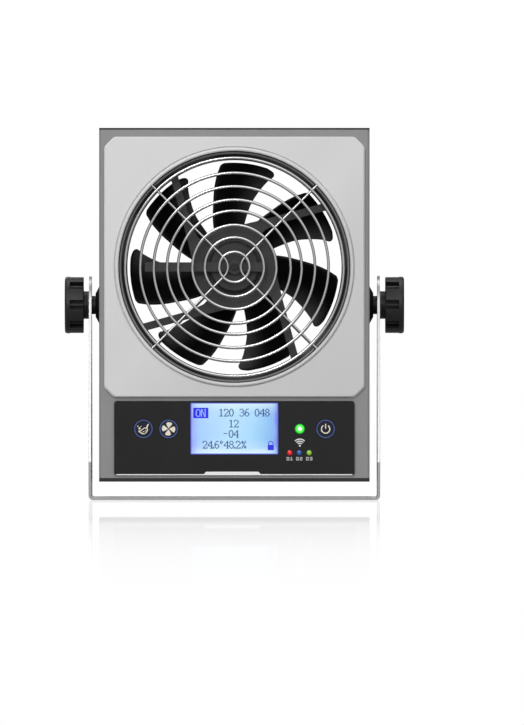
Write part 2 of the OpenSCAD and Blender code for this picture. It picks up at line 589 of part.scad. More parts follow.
module blade() {
    n = blade_n;
    m = 2 * (n + 1);
    k = len(blade_r);
    pts = [for (i = [0:k - 1]) each concat([for (j = [0:n]) blade_pt(i, j / n, -1)], [for (j = [n:-1:0]) blade_pt(i, j / n, 1)])];
    polyhedron(points = pts, convexity = 4, faces = concat(
        [for (j = [0:n - 1]) [j, j + 1, m - 2 - j]], [for (j = [0:n - 1]) [j, m - 2 - j, m - 1 - j]],
        [for (i = [0:k - 2], j = [0:m - 1]) [i * m + j, (i + 1) * m + j, (i + 1) * m + (j + 1) % m]],
        [for (i = [0:k - 2], j = [0:m - 1]) [i * m + j, (i + 1) * m + (j + 1) % m, i * m + (j + 1) % m]],
        [for (j = [0:n - 1]) [(k - 1) * m + m - 2 - j, (k - 1) * m + j + 1, (k - 1) * m + j]],
        [for (j = [0:n - 1]) [(k - 1) * m + m - 1 - j, (k - 1) * m + m - 2 - j, (k - 1) * m + j]]));
}
module impeller() {
    ya = fan_y0 + 5.2;   // open end of the hub cup, towards the outlet
    yc = fan_y0 + 34;
    color([0.03, 0.03, 0.03]) difference() {
        union() {
            turned(concat([[0, yc]], arc(hub_r - 4, yc - 4, 4, 90, 0, 6), [[hub_r, ya], [0, ya]]));
            at_fan() for (k = [0:blades - 1]) rotate([0, 0, 360 / blades * k]) blade();
        }
        turned([[0, ya - 1], [21.4, ya - 1], [21.4, yc - 4.2], [0, yc - 4.2]]);
        ycyl(0, fan_z, ya, yc - 3.4, 1.52, 32);
    }
}
module rotor_yoke() {
    color([0.5, 0.5, 0.52]) difference() {
        turned([[0, fan_y0 + 29.8], [21.3, fan_y0 + 29.8], [21.3, fan_y0 + 6], [20.2, fan_y0 + 6], [20.2, fan_y0 + 28.7], [0, fan_y0 + 28.7]]);
        ycyl(0, fan_z, fan_y0 + 20, fan_y0 + 40, 1.52, 32);
    }
}
module rotor_magnet() {
    color([0.2, 0.2, 0.22]) turned([[17.6, fan_y0 + 6.5], [20.15, fan_y0 + 6.5], [20.15, fan_y0 + 20], [17.6, fan_y0 + 20]]);
}
module fan_lead() { color([0.15, 0.15, 0.16]) swept(smooth(fan_lead_path, 5), 1.1); }
fan_lead_path = [[64.7, 6.5, 188], [67.6, 7, 178], [67.8, 8, 160], [67.8, 14, 140], [67.8, 14, 100], [67.6, 12, 70], [64, 6, 52], [56, -6, 38], [53, -10.2, 32.5], [53, -10.5, 29.25]];
module fan_screws() {
    color("silver") for (sx = [-1, 1], sz = [-1, 1]) {
        ycyl(sx * hole_p, fan_z + sz * hole_p, yf + 0.2, fan_y1 + 0.1, 2, 32);
        ycyl(sx * hole_p, fan_z + sz * hole_p, fan_y1, fan_y1 + 2.4, 3.8, 32);
    }
}
module nut_y(x, z, ya, yz, r, bore) {
    difference() {
        ycyl(x, z, ya, yz, r, 6);
        ycyl(x, z, ya - 1, yz + 1, bore, 32);
    }
}
module panel_nuts() {
    color("silver") {
        for (sx = [-1, 1], sz = [-1, 1]) nut_y(sx * panel_stud, fan_z + sz * 66, yi, yi + 2.4, 3.1, 1.53);
        for (x = [-50, 50]) nut_y(x, 18, yi, yi + 2.4, 3.1, 1.53);
    }
}

// ---------- needle cleaner ----------
module brush_gearmotor() {
    y0 = fan_y0 + 0.6;
    color([0.26, 0.26, 0.265]) union() {
        turned([[0, y0 - 4.4], [12.9, y0 - 4.4], [13.7, y0 - 3.6], [13.7, y0], [0, y0]]);
        turned([[0, y0 - 5], [9.4, y0 - 5], [9.4, y0 - 4.3], [0, y0 - 4.3]]);
        ycyl(0, fan_z, y0 - 7.0, y0 - 4.3, 1.5, 32);
    }
}
arm_y0 = fan_y0 - 7.2;          // front face of the cleaning arm
module cleaning_arm() {
    color([0.3, 0.3, 0.305]) difference() {
        union() {
            box([-49.7, arm_y0, fan_z - 2.6], [17.6, arm_y0 + 2.1, fan_z + 2.6]);
            ycyl(0, fan_z, arm_y0, arm_y0 + 2.1, 4);
        }
        ycyl(0, fan_z, arm_y0 + 0.7, arm_y0 + 3, 1.55, 32);
        ycyl(0, fan_z, arm_y0 - 1, arm_y0 + 1, 0.9, 24);
    }
}
// Bristle pack behind the arm's tip, just clear of the needles
module cleaning_brush() {
    color([0.85, 0.8, 0.65]) box([-49.2, arm_y0 + 2.1, fan_z - 1.9], [-44.2, needle_y - 0.75, fan_z + 1.9]);
}
module arm_screw() {
    color([0.1, 0.1, 0.1]) union() {
        ycyl(0, fan_z, arm_y0 - 0.9, arm_y0, 2.1, 32);
        ycyl(0, fan_z, arm_y0 - 0.1, arm_y0 + 0.65, 0.85, 24);
    }
}

// ---------- rear fittings ----------
module rear_screws() {
    color("silver") {
        for (sx = [-1, 1], sz = [-1, 1]) {
            ycyl(sx * hole_p, fan_z + sz * hole_p, yb - 3, yb + 1.6, 1.48, 32);
            ycyl(sx * hole_p, fan_z + sz * hole_p, yb + 1.52, yb + 3.2, 2.9, 32);
        }
        for (s = [-1, 1], z = case_screw_z) {
            ycyl(s * case_screw_x, z, yb - 4.5, yb + 0.1, 1.48, 32);
            ycyl(s * case_screw_x, z, yb, yb + 1.7, 2.9, 32);
        }
    }
}
// Barrel socket for the power adaptor: 5.5 mm well round a 2.1 mm centre pin
module power_jack() {
    color([0.08, 0.08, 0.08]) {
        difference() {
            union() {
                ycyl(jack_x, jack_z, yb - 14, yb + 0.1, 5);
                ycyl(jack_x, jack_z, yb, yb + 1.8, 6.2);
                ycyl(jack_x, jack_z, yb - 3.6, yb - rear_t, 7, 6);
            }
            ycyl(jack_x, jack_z, yb - 9.5, yb + 3, 2.8);
        }
        ycyl(jack_x, jack_z, yb - 10, yb - 0.4, 1.05, 24);
    }
}
module ground_stud() {
    color("gold") union() {
        ycyl(gnd_x, gnd_z, yb - 5.6, yb + 3.1, 2, 32);
        ycyl(gnd_x, gnd_z, yb + 3.0, yb + 3.8, 1.6, 32);
        ycyl(gnd_x, gnd_z, yb + 3.7, yb + 9.5, 2, 32);
        ycyl(gnd_x, gnd_z, yb - 7, yb - 5.5, 3.6, 6);
    }
}
module ground_nuts() {
    color("silver") {
        nut_y(gnd_x, gnd_z, yb - 5.5, yb - rear_t, 4, 2.03);
        nut_y(gnd_x, gnd_z, yb, yb + 3, 4, 2.03);
    }
}
// Flat cable from the back of the control board to the main board
module ribbon_cable() {
    color([0.6, 0.6, 0.6]) {
        box([-54, pcb_y + 6.4, 22], [-38, pcb_y + 13, 23]);
        box([-54, pcb_y + 12, 13.2], [-38, pcb_y + 13, 23]);
        box([-54, pcb_y + 12, 12.3], [20, pcb_y + 13, 13.3]);
        box([14, pcb_y + 12, 12.3], [20, pcb_y + 13, 20]);
    }
}

// ---------- tilt pivot, s is -1 on the left and +1 on the right ----------
module cone(s) {
    color([0.03, 0.03, 0.03]) mirror([s < 0 ? 1 : 0, 0, 0]) difference() {
        xcone(0, pivot_z, hw, hw + 2.3, 10.8, 6.6);
        xcyl(0, pivot_z, hw - 1, hw + 4, 4.7);
    }
}
module sleeve(s) {
    color([0.12, 0.12, 0.12]) mirror([s < 0 ? 1 : 0, 0, 0]) difference() {
        union() {
            xcyl(0, pivot_z, hw + 2.3, arm_in - 0.03, 5.1);
            xcyl(0, pivot_z, 67, hw + 2.4, 4.5);
        }
        xcyl(0, pivot_z, 60, 90, 3.0);
    }
}
module cone_left() { cone(-1); }
module cone_right() { cone(1); }
module sleeve_left() { sleeve(-1); }
module sleeve_right() { sleeve(1); }
module sleeve_nuts() {
    color("silver") for (s = [0, 1]) mirror([s, 0, 0]) difference() {
        xcyl(0, pivot_z, hw - shell_t - 4, hw - shell_t, 7.5, 6);
        xcyl(0, pivot_z, 60, 80, 4.55);
    }
}
// Fluted clamp knob: rounded outer flange, eight flutes, neck
module knob(s) {
    xa = arm_out + 1.25;
    xb = xa + 1.75;
    xe = xb + 10.5;
    color([0.14, 0.14, 0.14]) mirror([s < 0 ? 1 : 0, 0, 0]) translate([0, 0, pivot_z]) difference() {
        rotate([0, 90, 0]) rotate_extrude($fn = 96) polygon(concat(
            [[0, xa], [7.7, xa], [7.7, xb], [knob_r - 0.3, xb], [knob_r, xb + 0.3]], arc(knob_r - 1.4, xe - 1.4, 1.4, 0, 90, 6),
            [[11, xe], [10.5, xe - 0.6], [0, xe - 0.6]]));
        // Deep slots, open towards the stand, each with a rib down its middle
        for (a = [0:45:315]) rotate([a, 0, 0]) difference() {
            translate([xb - 1, -knob_r - 2, -2.7]) cube([8.6, 7.6, 5.4]);
            translate([xb - 2, -knob_r + 1.4, -0.6]) cube([10.6, 6, 1.2]);
        }
        translate([xa - 1, 0, 0]) rotate([0, 90, 0]) cylinder(h = 8, r = 3.0, $fn = 48);
    }
}
module stud(s) {
    color("silver") mirror([s < 0 ? 1 : 0, 0, 0]) xcyl(0, pivot_z, 68.2, arm_out + 8.2, 2.95);
}
module washer(s) {
    color([0.05, 0.05, 0.05]) mirror([s < 0 ? 1 : 0, 0, 0]) difference() {
        xcyl(0, pivot_z, arm_out + 0.03, arm_out + 1.22, 7.7);
        xcyl(0, pivot_z, arm_out - 1, arm_out + 3, 3.05);
    }
}
module knob_left() { knob(-1); }
module knob_right() { knob(1); }
module stud_left() { stud(-1); }
module stud_right() { stud(1); }
module washer_left() { washer(-1); }
module washer_right() { washer(1); }

stand_bracket();
front_shell();
rear_shell();
front_panel();
control_panel();
lcd_lens();
lcd_module();
control_board();
board_standoffs();
board_screws();
tact_switches();
status_led();
led_red();
led_blue();
led_green();
outlet_guard();
emitter_ring();
emitter_needles();
hv_bus_wires();
hv_module();
hv_leads();
main_board();
board_capacitors();
fan_frame();
motor_mount();
fan_stator();
stator_windings();
fan_drive_board();
fan_bearings();
fan_screws();
panel_nuts();
fan_lead();
brush_gearmotor();
intake_guard();
rear_screws();
power_jack();
ground_stud();
ground_nuts();
ribbon_cable();
cone_left();
cone_right();
sleeve_left();
sleeve_right();
sleeve_nuts();
impeller();
rotor_yoke();
rotor_magnet();
fan_shaft();
cleaning_arm();
cleaning_brush();
arm_screw();
key_clean();
key_fan();
key_power();
knob_left();
stud_left();
washer_left();
knob_right();
stud_right();
washer_right();
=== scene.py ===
# Looks of the ionizing blower: materials, small printed and moulded detail, camera and lights.
import json
import math

import bmesh
import bpy
from mathutils import Matrix, Vector


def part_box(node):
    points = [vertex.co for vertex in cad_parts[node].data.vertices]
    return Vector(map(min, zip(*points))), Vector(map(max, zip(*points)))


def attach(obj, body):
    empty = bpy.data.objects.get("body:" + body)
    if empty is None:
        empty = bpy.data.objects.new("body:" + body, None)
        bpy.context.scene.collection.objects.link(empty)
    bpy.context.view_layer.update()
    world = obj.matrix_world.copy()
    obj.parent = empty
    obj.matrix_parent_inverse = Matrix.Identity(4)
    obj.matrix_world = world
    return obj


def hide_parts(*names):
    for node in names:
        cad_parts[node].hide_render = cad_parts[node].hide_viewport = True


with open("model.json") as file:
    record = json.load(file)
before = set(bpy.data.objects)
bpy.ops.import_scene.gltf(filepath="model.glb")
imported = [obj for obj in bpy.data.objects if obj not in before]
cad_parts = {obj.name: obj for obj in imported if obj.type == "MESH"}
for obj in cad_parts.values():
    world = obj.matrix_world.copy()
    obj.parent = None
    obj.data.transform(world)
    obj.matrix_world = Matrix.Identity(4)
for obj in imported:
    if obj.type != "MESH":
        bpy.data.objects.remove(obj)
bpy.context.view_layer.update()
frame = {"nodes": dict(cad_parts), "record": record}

MM = 0.001
SC = bpy.context.scene

# Places taken from the CAD, in millimetres
LO_P, HI_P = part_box("control_panel")
CTL_Y = LO_P.y / MM                      # front face of the control panel
PANEL_BOTTOM = LO_P.z / MM
LO_F, HI_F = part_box("fan_frame")
FAN_Z = (LO_F.z + HI_F.z) / 2 / MM
FAN_Y0 = LO_F.y / MM


def centre(node):
    lo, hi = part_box(node)
    return (lo + hi) / 2 / MM


KEY = {n: centre(n) for n in ("key_clean", "key_fan", "key_power")}
KEY_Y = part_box("key_clean")[0].y / MM
LAMP = centre("status_led")
MINI = [centre(n) for n in ("led_red", "led_blue", "led_green")]
LCD_LO, LCD_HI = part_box("lcd_lens")
GLASS_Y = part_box("lcd_module")[0].y / MM


# ------------------------------------------------------------------ materials
def clear(name):
    m = bpy.data.materials.new(name)
    m.use_nodes = True
    nt = m.node_tree
    nt.nodes.clear()
    out = nt.nodes.new("ShaderNodeOutputMaterial")
    b = nt.nodes.new("ShaderNodeBsdfPrincipled")
    nt.links.new(b.outputs[0], out.inputs[0])
    return m, nt, b


def coords(nt, scale=None):
    tc = nt.nodes.new("ShaderNodeTexCoord")
    if scale is None:
        return tc.outputs["Object"]
    mp = nt.nodes.new("ShaderNodeMapping")
    mp.inputs["Scale"].default_value = scale
    nt.links.new(tc.outputs["Object"], mp.inputs["Vector"])
    return mp.outputs["Vector"]


def noise(nt, vec, scale, detail=3.0, rough=0.55):
    n = nt.nodes.new("ShaderNodeTexNoise")
    n.inputs["Scale"].default_value = scale
    n.inputs["Detail"].default_value = detail
    n.inputs["Roughness"].default_value = rough
    nt.links.new(vec, n.inputs["Vector"])
    return n.outputs["Fac"]


def ramp(nt, fac, stops, mode="LINEAR"):
    r = nt.nodes.new("ShaderNodeValToRGB")
    r.color_ramp.interpolation = mode
    e = r.color_ramp.elements
    while len(e) < len(stops):
        e.new(0.5)
    for i, (p, c) in enumerate(stops):
        e[i].position = p
        e[i].color = (*c, 1) if len(c) == 3 else c
    nt.links.new(fac, r.inputs["Fac"])
    return r.outputs["Color"]


def remap(nt, fac, a, b, c, d):
    m = nt.nodes.new("ShaderNodeMapRange")
    m.inputs["From Min"].default_value = a
    m.inputs["From Max"].default_value = b
    m.inputs["To Min"].default_value = c
    m.inputs["To Max"].default_value = d
    nt.links.new(fac, m.inputs["Value"])
    return m.outputs["Result"]


def math2(nt, op, a, b=None, clamp=False):
    m = nt.nodes.new("ShaderNodeMath")
    m.operation = op
    m.use_clamp = clamp
    for i, v in enumerate((a, b)):
        if v is None:
            continue
        if hasattr(v, "is_linked"):
            nt.links.new(v, m.inputs[i])
        else:
            m.inputs[i].default_value = v
    return m.outputs[0]


def mix(nt, fac, a, b, mode="MIX"):
    m = nt.nodes.new("ShaderNodeMix")
    m.data_type = "RGBA"
    m.blend_type = mode
    for sock, v in ((m.inputs["Factor"], fac), (m.inputs[6], a), (m.inputs[7], b)):
        if hasattr(v, "is_linked"):
            nt.links.new(v, sock)
        else:
            sock.default_value = v if not isinstance(v, tuple) else ((*v, 1) if len(v) == 3 else v)
    return m.outputs[2]


def bevel(nt, radius):
    b = nt.nodes.new("ShaderNodeBevel")
    b.samples = 4
    b.inputs["Radius"].default_value = radius
    return b.outputs["Normal"]


def bump(nt, height, strength, distance, normal=None):
    b = nt.nodes.new("ShaderNodeBump")
    b.inputs["Strength"].default_value = strength
    b.inputs["Distance"].default_value = distance
    nt.links.new(height, b.inputs["Height"])
    if normal is not None:
        nt.links.new(normal, b.inputs["Normal"])
    return b.outputs["Normal"]


def edge_mask(nt, bev):
    g = nt.nodes.new("ShaderNodeNewGeometry")
    d = nt.nodes.new("ShaderNodeVectorMath")
    d.operation = "DOT_PRODUCT"
    nt.links.new(bev, d.inputs[0])
    nt.links.new(g.outputs["Normal"], d.inputs[1])
    return remap(nt, d.outputs["Value"], 0.995, 0.85, 0.0, 1.0)


def tint(c, k):
    return tuple(max(0.0, min(1.0, x * k)) for x in c)


def skin(name, colour, rough=0.5, metal=0.0, mottle=0.05, mottle_scale=45.0, grain=0.25, grain_scale=1600.0,
         grain_depth=0.00006, rough_var=0.05, round_edge=0.0, wear=None, spec=0.5, coat=0.0, coat_rough=0.2, dust=0.0):
    """Paint, plastic or rubber: mottled colour, fine grain, uneven sheen, softly rounded and worn edges."""
    m, nt, b = clear(name)
    v = coords(nt)
    big = noise(nt, v, mottle_scale, 4.0)
    col = ramp(nt, big, [(0.3, tint(colour, 1 - mottle)), (0.7, tint(colour, 1 + mottle))])
    fine = noise(nt, v, grain_scale, 2.0)
    nrm = None
    if round_edge:
        nrm = bevel(nt, round_edge)
        if wear is not None:
            mask = math2(nt, "MULTIPLY", edge_mask(nt, nrm), remap(nt, noise(nt, v, 260.0, 4.0), 0.45, 0.7, 0.15, 1.0), True)
            col = mix(nt, mask, col, wear)
    if dust:
        d = math2(nt, "MULTIPLY", remap(nt, noise(nt, v, 24.0, 5.0, 0.7), 0.5, 0.8, 0.0, 1.0), dust, True)
        col = mix(nt, d, col, (0.45, 0.44, 0.42))
    nt.links.new(col, b.inputs["Base Color"])
    nt.links.new(remap(nt, noise(nt, v, mottle_scale * 2.3, 3.0), 0.3, 0.7, rough - rough_var, rough + rough_var), b.inputs["Roughness"])
    b.inputs["Metallic"].default_value = metal
    b.inputs["Specular IOR Level"].default_value = spec
    if coat:
        b.inputs["Coat Weight"].default_value = coat
        b.inputs["Coat Roughness"].default_value = coat_rough
    nt.links.new(bump(nt, fine, grain, grain_depth, nrm), b.inputs["Normal"])
    return m


def brushed(name, colour, rough=0.32, along="x", scale=900.0, depth=0.00003, strength=0.25, round_edge=0.0, contrast=0.08):
    """Rolled or brushed metal: fine lines along one axis."""
    m, nt, b = clear(name)
    s = {"x": (0.02, 1, 1), "y": (1, 0.02, 1), "z": (1, 1, 0.02)}[along]
    v = coords(nt, s)
    lines = noise(nt, v, scale, 3.0, 0.7)
    soft = noise(nt, coords(nt), 30.0, 3.0)
    col = ramp(nt, lines, [(0.3, tint(colour, 1 - contrast)), (0.7, tint(colour, 1 + contrast))])
    col = mix(nt, remap(nt, soft, 0.3, 0.7, 0.0, 0.35), col, tint(colour, 0.86))
    nt.links.new(col, b.inputs["Base Color"])
    b.inputs["Metallic"].default_value = 1.0
    nt.links.new(remap(nt, lines, 0.3, 0.7, rough - 0.05, rough + 0.08), b.inputs["Roughness"])
    nrm = bevel(nt, round_edge) if round_edge else None
    nt.links.new(bump(nt, lines, strength, depth, nrm), b.inputs["Normal"])
    return m


def only_broad(nt, fac, middle=0.5):
    """Fades a pattern out on the faces that point along Y: the sheared edges of a sheet."""
    g = nt.nodes.new("ShaderNodeNewGeometry")
    sp = nt.nodes.new("ShaderNodeSeparateXYZ")
    nt.links.new(g.outputs["True Normal"], sp.inputs[0])
    k = remap(nt, math2(nt, "ABSOLUTE", sp.outputs["Y"]), 0.3, 0.7, 1.0, 0.0)
    return math2(nt, "ADD", math2(nt, "MULTIPLY", math2(nt, "SUBTRACT", fac, middle), k), middle)


def sheet_metal(name, colour, rough, along="y", scale=1400.0, contrast=0.05, strength=0.3, depth=0.00002, round_edge=0.0003):
    """Satin sheet: fine lines on the broad faces, plain sheared edges, a faint cloudiness."""
    m, nt, b = clear(name)
    s = {"x": (0.02, 1, 1), "y": (1, 0.02, 1), "z": (1, 1, 0.02)}[along]
    lines = only_broad(nt, noise(nt, coords(nt, s), scale, 3.0, 0.7))
    soft = noise(nt, coords(nt), 26.0, 3.0)
    col = ramp(nt, lines, [(0.3, tint(colour, 1 - contrast)), (0.7, tint(colour, 1 + contrast))])
    col = mix(nt, remap(nt, soft, 0.3, 0.7, 0.0, 0.25), col, tint(colour, 0.9))
    nt.links.new(col, b.inputs["Base Color"])
    b.inputs["Metallic"].default_value = 0.85
    nt.links.new(remap(nt, lines, 0.3, 0.7, rough - 0.04, rough + 0.06), b.inputs["Roughness"])
    nt.links.new(bump(nt, lines, strength, depth, bevel(nt, round_edge)), b.inputs["Normal"])
    return m


def radial_glow(name, cx, cz, stops, strength, rough=0.15):
    """A lamp's lens: colour by distance from its axis, in metres."""
    m, nt, b = clear(name)
    tc = coords(nt)
    sep = nt.nodes.new("ShaderNodeSeparateXYZ")
    nt.links.new(tc, sep.inputs[0])
    dx = math2(nt, "SUBTRACT", sep.outputs["X"], cx * MM)
    dz = math2(nt, "SUBTRACT", sep.outputs["Z"], cz * MM)
    r = math2(nt, "SQRT", math2(nt, "ADD", math2(nt, "MULTIPLY", dx, dx), math2(nt, "MULTIPLY", dz, dz)))
    wob = math2(nt, "ADD", math2(nt, "MULTIPLY", r, 1 / (stops[-1][0] * MM)), remap(nt, noise(nt, tc, 900.0, 2.0), 0.3, 0.7, -0.02, 0.02))
    col = ramp(nt, wob, [(p / stops[-1][0], c) for p, c in stops])
    nt.links.new(col, b.inputs["Base Color"])
    nt.links.new(col, b.inputs["Emission Color"])
    b.inputs["Emission Strength"].default_value = strength
    b.inputs["Roughness"].default_value = rough
    return m


def ink(name, colour, rough=0.5, glow=0.0, spec=0.5):
    m, nt, b = clear(name)
    n = noise(nt, coords(nt), 1400.0, 3.0)
    nt.links.new(ramp(nt, n, [(0.3, tint(colour, 0.9)), (0.7, tint(colour, 1.05))]), b.inputs["Base Color"])
    b.inputs["Roughness"].default_value = rough
    b.inputs["Specular IOR Level"].default_value = spec
    if glow:
        b.inputs["Emission Color"].default_value = (*colour, 1)
        b.inputs["Emission Strength"].default_value = glow
    return m


M = {}
M["shell_grey"] = skin("shell_grey", (0.268, 0.268, 0.268), rough=0.46, mottle=0.03, grain=0.3, grain_scale=1400, round_edge=0.0005, wear=(0.45, 0.45, 0.45))
M["shell_black"] = skin("shell_black", (0.013, 0.013, 0.0135), rough=0.48, spec=0.4, mottle=0.05, grain=0.45, grain_scale=1300, grain_depth=0.00009, round_edge=0.0004)
M["panel_light"] = skin("panel_light", (0.71, 0.71, 0.71), rough=0.36, mottle=0.022, mottle_scale=9, grain=0.18, grain_scale=2200, grain_depth=0.00003, round_edge=0.0005, wear=(0.8, 0.8, 0.8), coat=0.25, coat_rough=0.3)
nt = M["panel_light"].node_tree
base = nt.nodes["Principled BSDF"].inputs["Base Color"]
sep = nt.nodes.new("ShaderNodeSeparateXYZ")
nt.links.new(coords(nt), sep.inputs[0])
# Painted light: a soft diagonal band, lighter and darker across the panel as light falls on it, multiplied into the
# paint colour
slant = math2(nt, "ADD", math2(nt, "MULTIPLY", sep.outputs["X"], -3.4), math2(nt, "MULTIPLY", sep.outputs["Z"], 3.4))
slant = math2(nt, "ADD", slant, remap(nt, noise(nt, coords(nt), 11.0, 1.0), 0.3, 0.7, -0.06, 0.06))
sheen = ramp(nt, slant, [(0.0, (0.84, 0.84, 0.84)), (0.25, (0.90, 0.90, 0.90)), (0.42, (0.99, 0.99, 0.99)), (0.52, (0.96, 0.96, 0.96)), (0.75, (1, 1, 1)), (1.0, (1, 1, 1))])
nt.links.new(mix(nt, 1.0, base.links[0].from_socket, sheen, "MULTIPLY"), base)
M["facia_black"] = skin("facia_black", (0.0160, 0.0160, 0.0163), rough=0.5, spec=0.16, mottle=0.05, grain=0.3, grain_scale=2400, grain_depth=0.00003, round_edge=0.0003, wear=(0.07, 0.07, 0.07))
M["duct_plastic"] = skin("duct_plastic", (0.033, 0.033, 0.034), rough=0.45, spec=0.4, mottle=0.10, grain=0.5, grain_scale=1100, grain_depth=0.0001, round_edge=0.0004, wear=(0.06, 0.06, 0.06), dust=0.06)
M["motor_plastic"] = skin("motor_plastic", (0.040, 0.040, 0.041), rough=0.5, spec=0.35, mottle=0.08, grain=0.4, grain_scale=1300, grain_depth=0.00008, round_edge=0.0003, wear=(0.085, 0.085, 0.085))
M["blade_plastic"] = skin("blade_plastic", (0.19, 0.19, 0.193), rough=0.45, spec=0.25, mottle=0.12, grain=0.3, grain_scale=1500, grain_depth=0.00006, round_edge=0.0003, wear=(0.2, 0.2, 0.2))
nt = M["blade_plastic"].node_tree
base = nt.nodes["Principled BSDF"].inputs["Base Color"]
# Painted light: blades darkest over the first part of the chord, much lighter towards the leading edge where light
# falls on their curve, by a ramp on the chord attribute
att = nt.nodes.new("ShaderNodeAttribute")
att.attribute_name = "chord"
painted_blade_shading = ramp(nt, att.outputs["Fac"], [(0.0, (0.05, 0.05, 0.05)), (0.1, (0.016, 0.016, 0.016)), (0.38, (0.012, 0.012, 0.012)), (0.52, (0.05, 0.05, 0.05)),
                                     (0.66, (0.18, 0.18, 0.18)), (0.8, (0.38, 0.38, 0.38)), (0.92, (0.62, 0.62, 0.62)), (1.0, (0.8, 0.8, 0.8))])
nt.links.new(mix(nt, 1.0, base.links[0].from_socket, painted_blade_shading, "MULTIPLY"), base)
M["knob_black"] = skin("knob_black", (0.0175, 0.0175, 0.018), rough=0.40, spec=0.28, mottle=0.10, grain=0.5, grain_scale=1700, grain_depth=0.00008, round_edge=0.0005, wear=(0.06, 0.06, 0.06))
M["rubber"] = skin("rubber", (0.006, 0.006, 0.006), rough=0.7, mottle=0.15, grain=0.5, grain_scale=1200, grain_depth=0.0001, round_edge=0.0004)
M["sleeve_black"] = skin("sleeve_black", (0.014, 0.014, 0.015), rough=0.45, mottle=0.12, grain=0.3, round_edge=0.0002)
M["switch_black"] = skin("switch_black", (0.012, 0.012, 0.013), rough=0.38, mottle=0.12, grain=0.3, round_edge=0.0003, wear=(0.05, 0.05, 0.05))
M["ring_plastic"] = skin("ring_plastic", (0.030, 0.030, 0.031), rough=0.42, spec=0.4, mottle=0.08, grain=0.4, grain_scale=1300, grain_depth=0.00008, round_edge=0.0002)
nt = M["ring_plastic"].node_tree
base = nt.nodes["Principled BSDF"].inputs["Base Color"]
sep = nt.nodes.new("ShaderNodeSeparateXYZ")
nt.links.new(coords(nt), sep.inputs[0])
dz = math2(nt, "SUBTRACT", sep.outputs["Z"], FAN_Z * MM)
rr = math2(nt, "SQRT", math2(nt, "ADD", math2(nt, "MULTIPLY", sep.outputs["X"], sep.outputs["X"]), math2(nt, "MULTIPLY", dz, dz)))
# Painted highlight: a light grey band round the emitter ring's front face where light catches its bead, set by radius
# from the fan axis and only near the front face
painted_bead_highlight = ramp(nt, remap(nt, rr, 0.060, 0.066, 0.0, 1.0), [(0.0, (0, 0, 0)), (0.42, (0, 0, 0)), (0.5, (1, 1, 1)), (0.60, (1, 1, 1)), (0.68, (0, 0, 0)), (1.0, (0, 0, 0))])
painted_bead_highlight = math2(nt, "MULTIPLY", painted_bead_highlight, remap(nt, sep.outputs["Y"], -0.0384, -0.0388, 0.0, 1.0))
nt.links.new(mix(nt, painted_bead_highlight, base.links[0].from_socket, (0.24, 0.24, 0.24)), base)
M["potting"] = skin("potting", (0.02, 0.02, 0.021), rough=0.55, mottle=0.2, mottle_scale=120, grain=0.5)
M["key_blue"] = skin("key_blue", (0.010, 0.013, 0.028), rough=0.4, spec=0.2, mottle=0.12, grain=0.3, grain_scale=2400, grain_depth=0.00003, round_edge=0.0003, wear=(0.03, 0.045, 0.09))
M["stand_steel"] = sheet_metal("stand_steel", (0.44, 0.44, 0.44), 0.32)
M["guard_wire"] = brushed("guard_wire", (0.66, 0.66, 0.66), rough=0.10, along="x", scale=700, strength=0.06, contrast=0.03)
M["zinc"] = brushed("zinc", (0.60, 0.60, 0.61), rough=0.34, along="y", scale=1500, round_edge=0.0002)
M["black_oxide"] = skin("black_oxide", (0.014, 0.014, 0.015), rough=0.36, metal=0.5, mottle=0.12, grain=0.3, round_edge=0.0002)
M["nickel"] = brushed("nickel", (0.62, 0.61, 0.59), rough=0.26, along="y", scale=1500, round_edge=0.0002)
M["steel"] = brushed("steel", (0.58, 0.58, 0.60), rough=0.24, along="x", scale=1500)
M["lamination"] = brushed("lamination", (0.36, 0.36, 0.38), rough=0.4, along="x", scale=2600, contrast=0.25, strength=0.5)
M["needle_metal"] = brushed("needle_metal", (0.72, 0.72, 0.74), rough=0.16, along="x", scale=2000)
M["brass"] = brushed("brass", (0.72, 0.52, 0.22), rough=0.28, along="y", scale=1500, round_edge=0.0002)
M["copper"] = brushed("copper", (0.62, 0.26, 0.12), rough=0.32, along="y", scale=1800, contrast=0.2)
M["magnet"] = skin("magnet", (0.03, 0.03, 0.032), rough=0.55, mottle=0.2, mottle_scale=200, grain=0.6)
M["lead_red"] = skin("lead_red", (0.42, 0.02, 0.018), rough=0.42, mottle=0.08, grain=0.2)
M["lead_black"] = skin("lead_black", (0.012, 0.012, 0.012), rough=0.45, mottle=0.1, grain=0.2)
M["cable_grey"] = brushed("cable_grey", (0.34, 0.34, 0.35), rough=0.5, along="x", scale=1100, contrast=0.25)
M["cable_grey"].node_tree.nodes["Principled BSDF"].inputs["Metallic"].default_value = 0.0
M["bristle"] = skin("bristle", (0.62, 0.56, 0.42), rough=0.6, mottle=0.15, mottle_scale=600, grain=0.4)
M["capacitor"] = skin("capacitor", (0.02, 0.035, 0.12), rough=0.25, mottle=0.06, grain=0.15)


def board(name):
    m, nt, b = clear(name)
    v = coords(nt)
    br = nt.nodes.new("ShaderNodeTexBrick")
    br.inputs["Scale"].default_value = 260.0
    br.inputs["Mortar Size"].default_value = 0.06
    br.inputs["Color1"].default_value = (0.012, 0.11, 0.05, 1)
    br.inputs["Color2"].default_value = (0.016, 0.14, 0.062, 1)
    br.inputs["Mortar"].default_value = (0.03, 0.22, 0.09, 1)
    nt.links.new(v, br.inputs["Vector"])
    nt.links.new(br.outputs["Color"], b.inputs["Base Color"])
    nt.links.new(remap(nt, noise(nt, v, 500.0), 0.3, 0.7, 0.25, 0.4), b.inputs["Roughness"])
    nt.links.new(bump(nt, br.outputs["Fac"], 0.3, 0.00004), b.inputs["Normal"])
    return m


M["pcb"] = board("pcb")


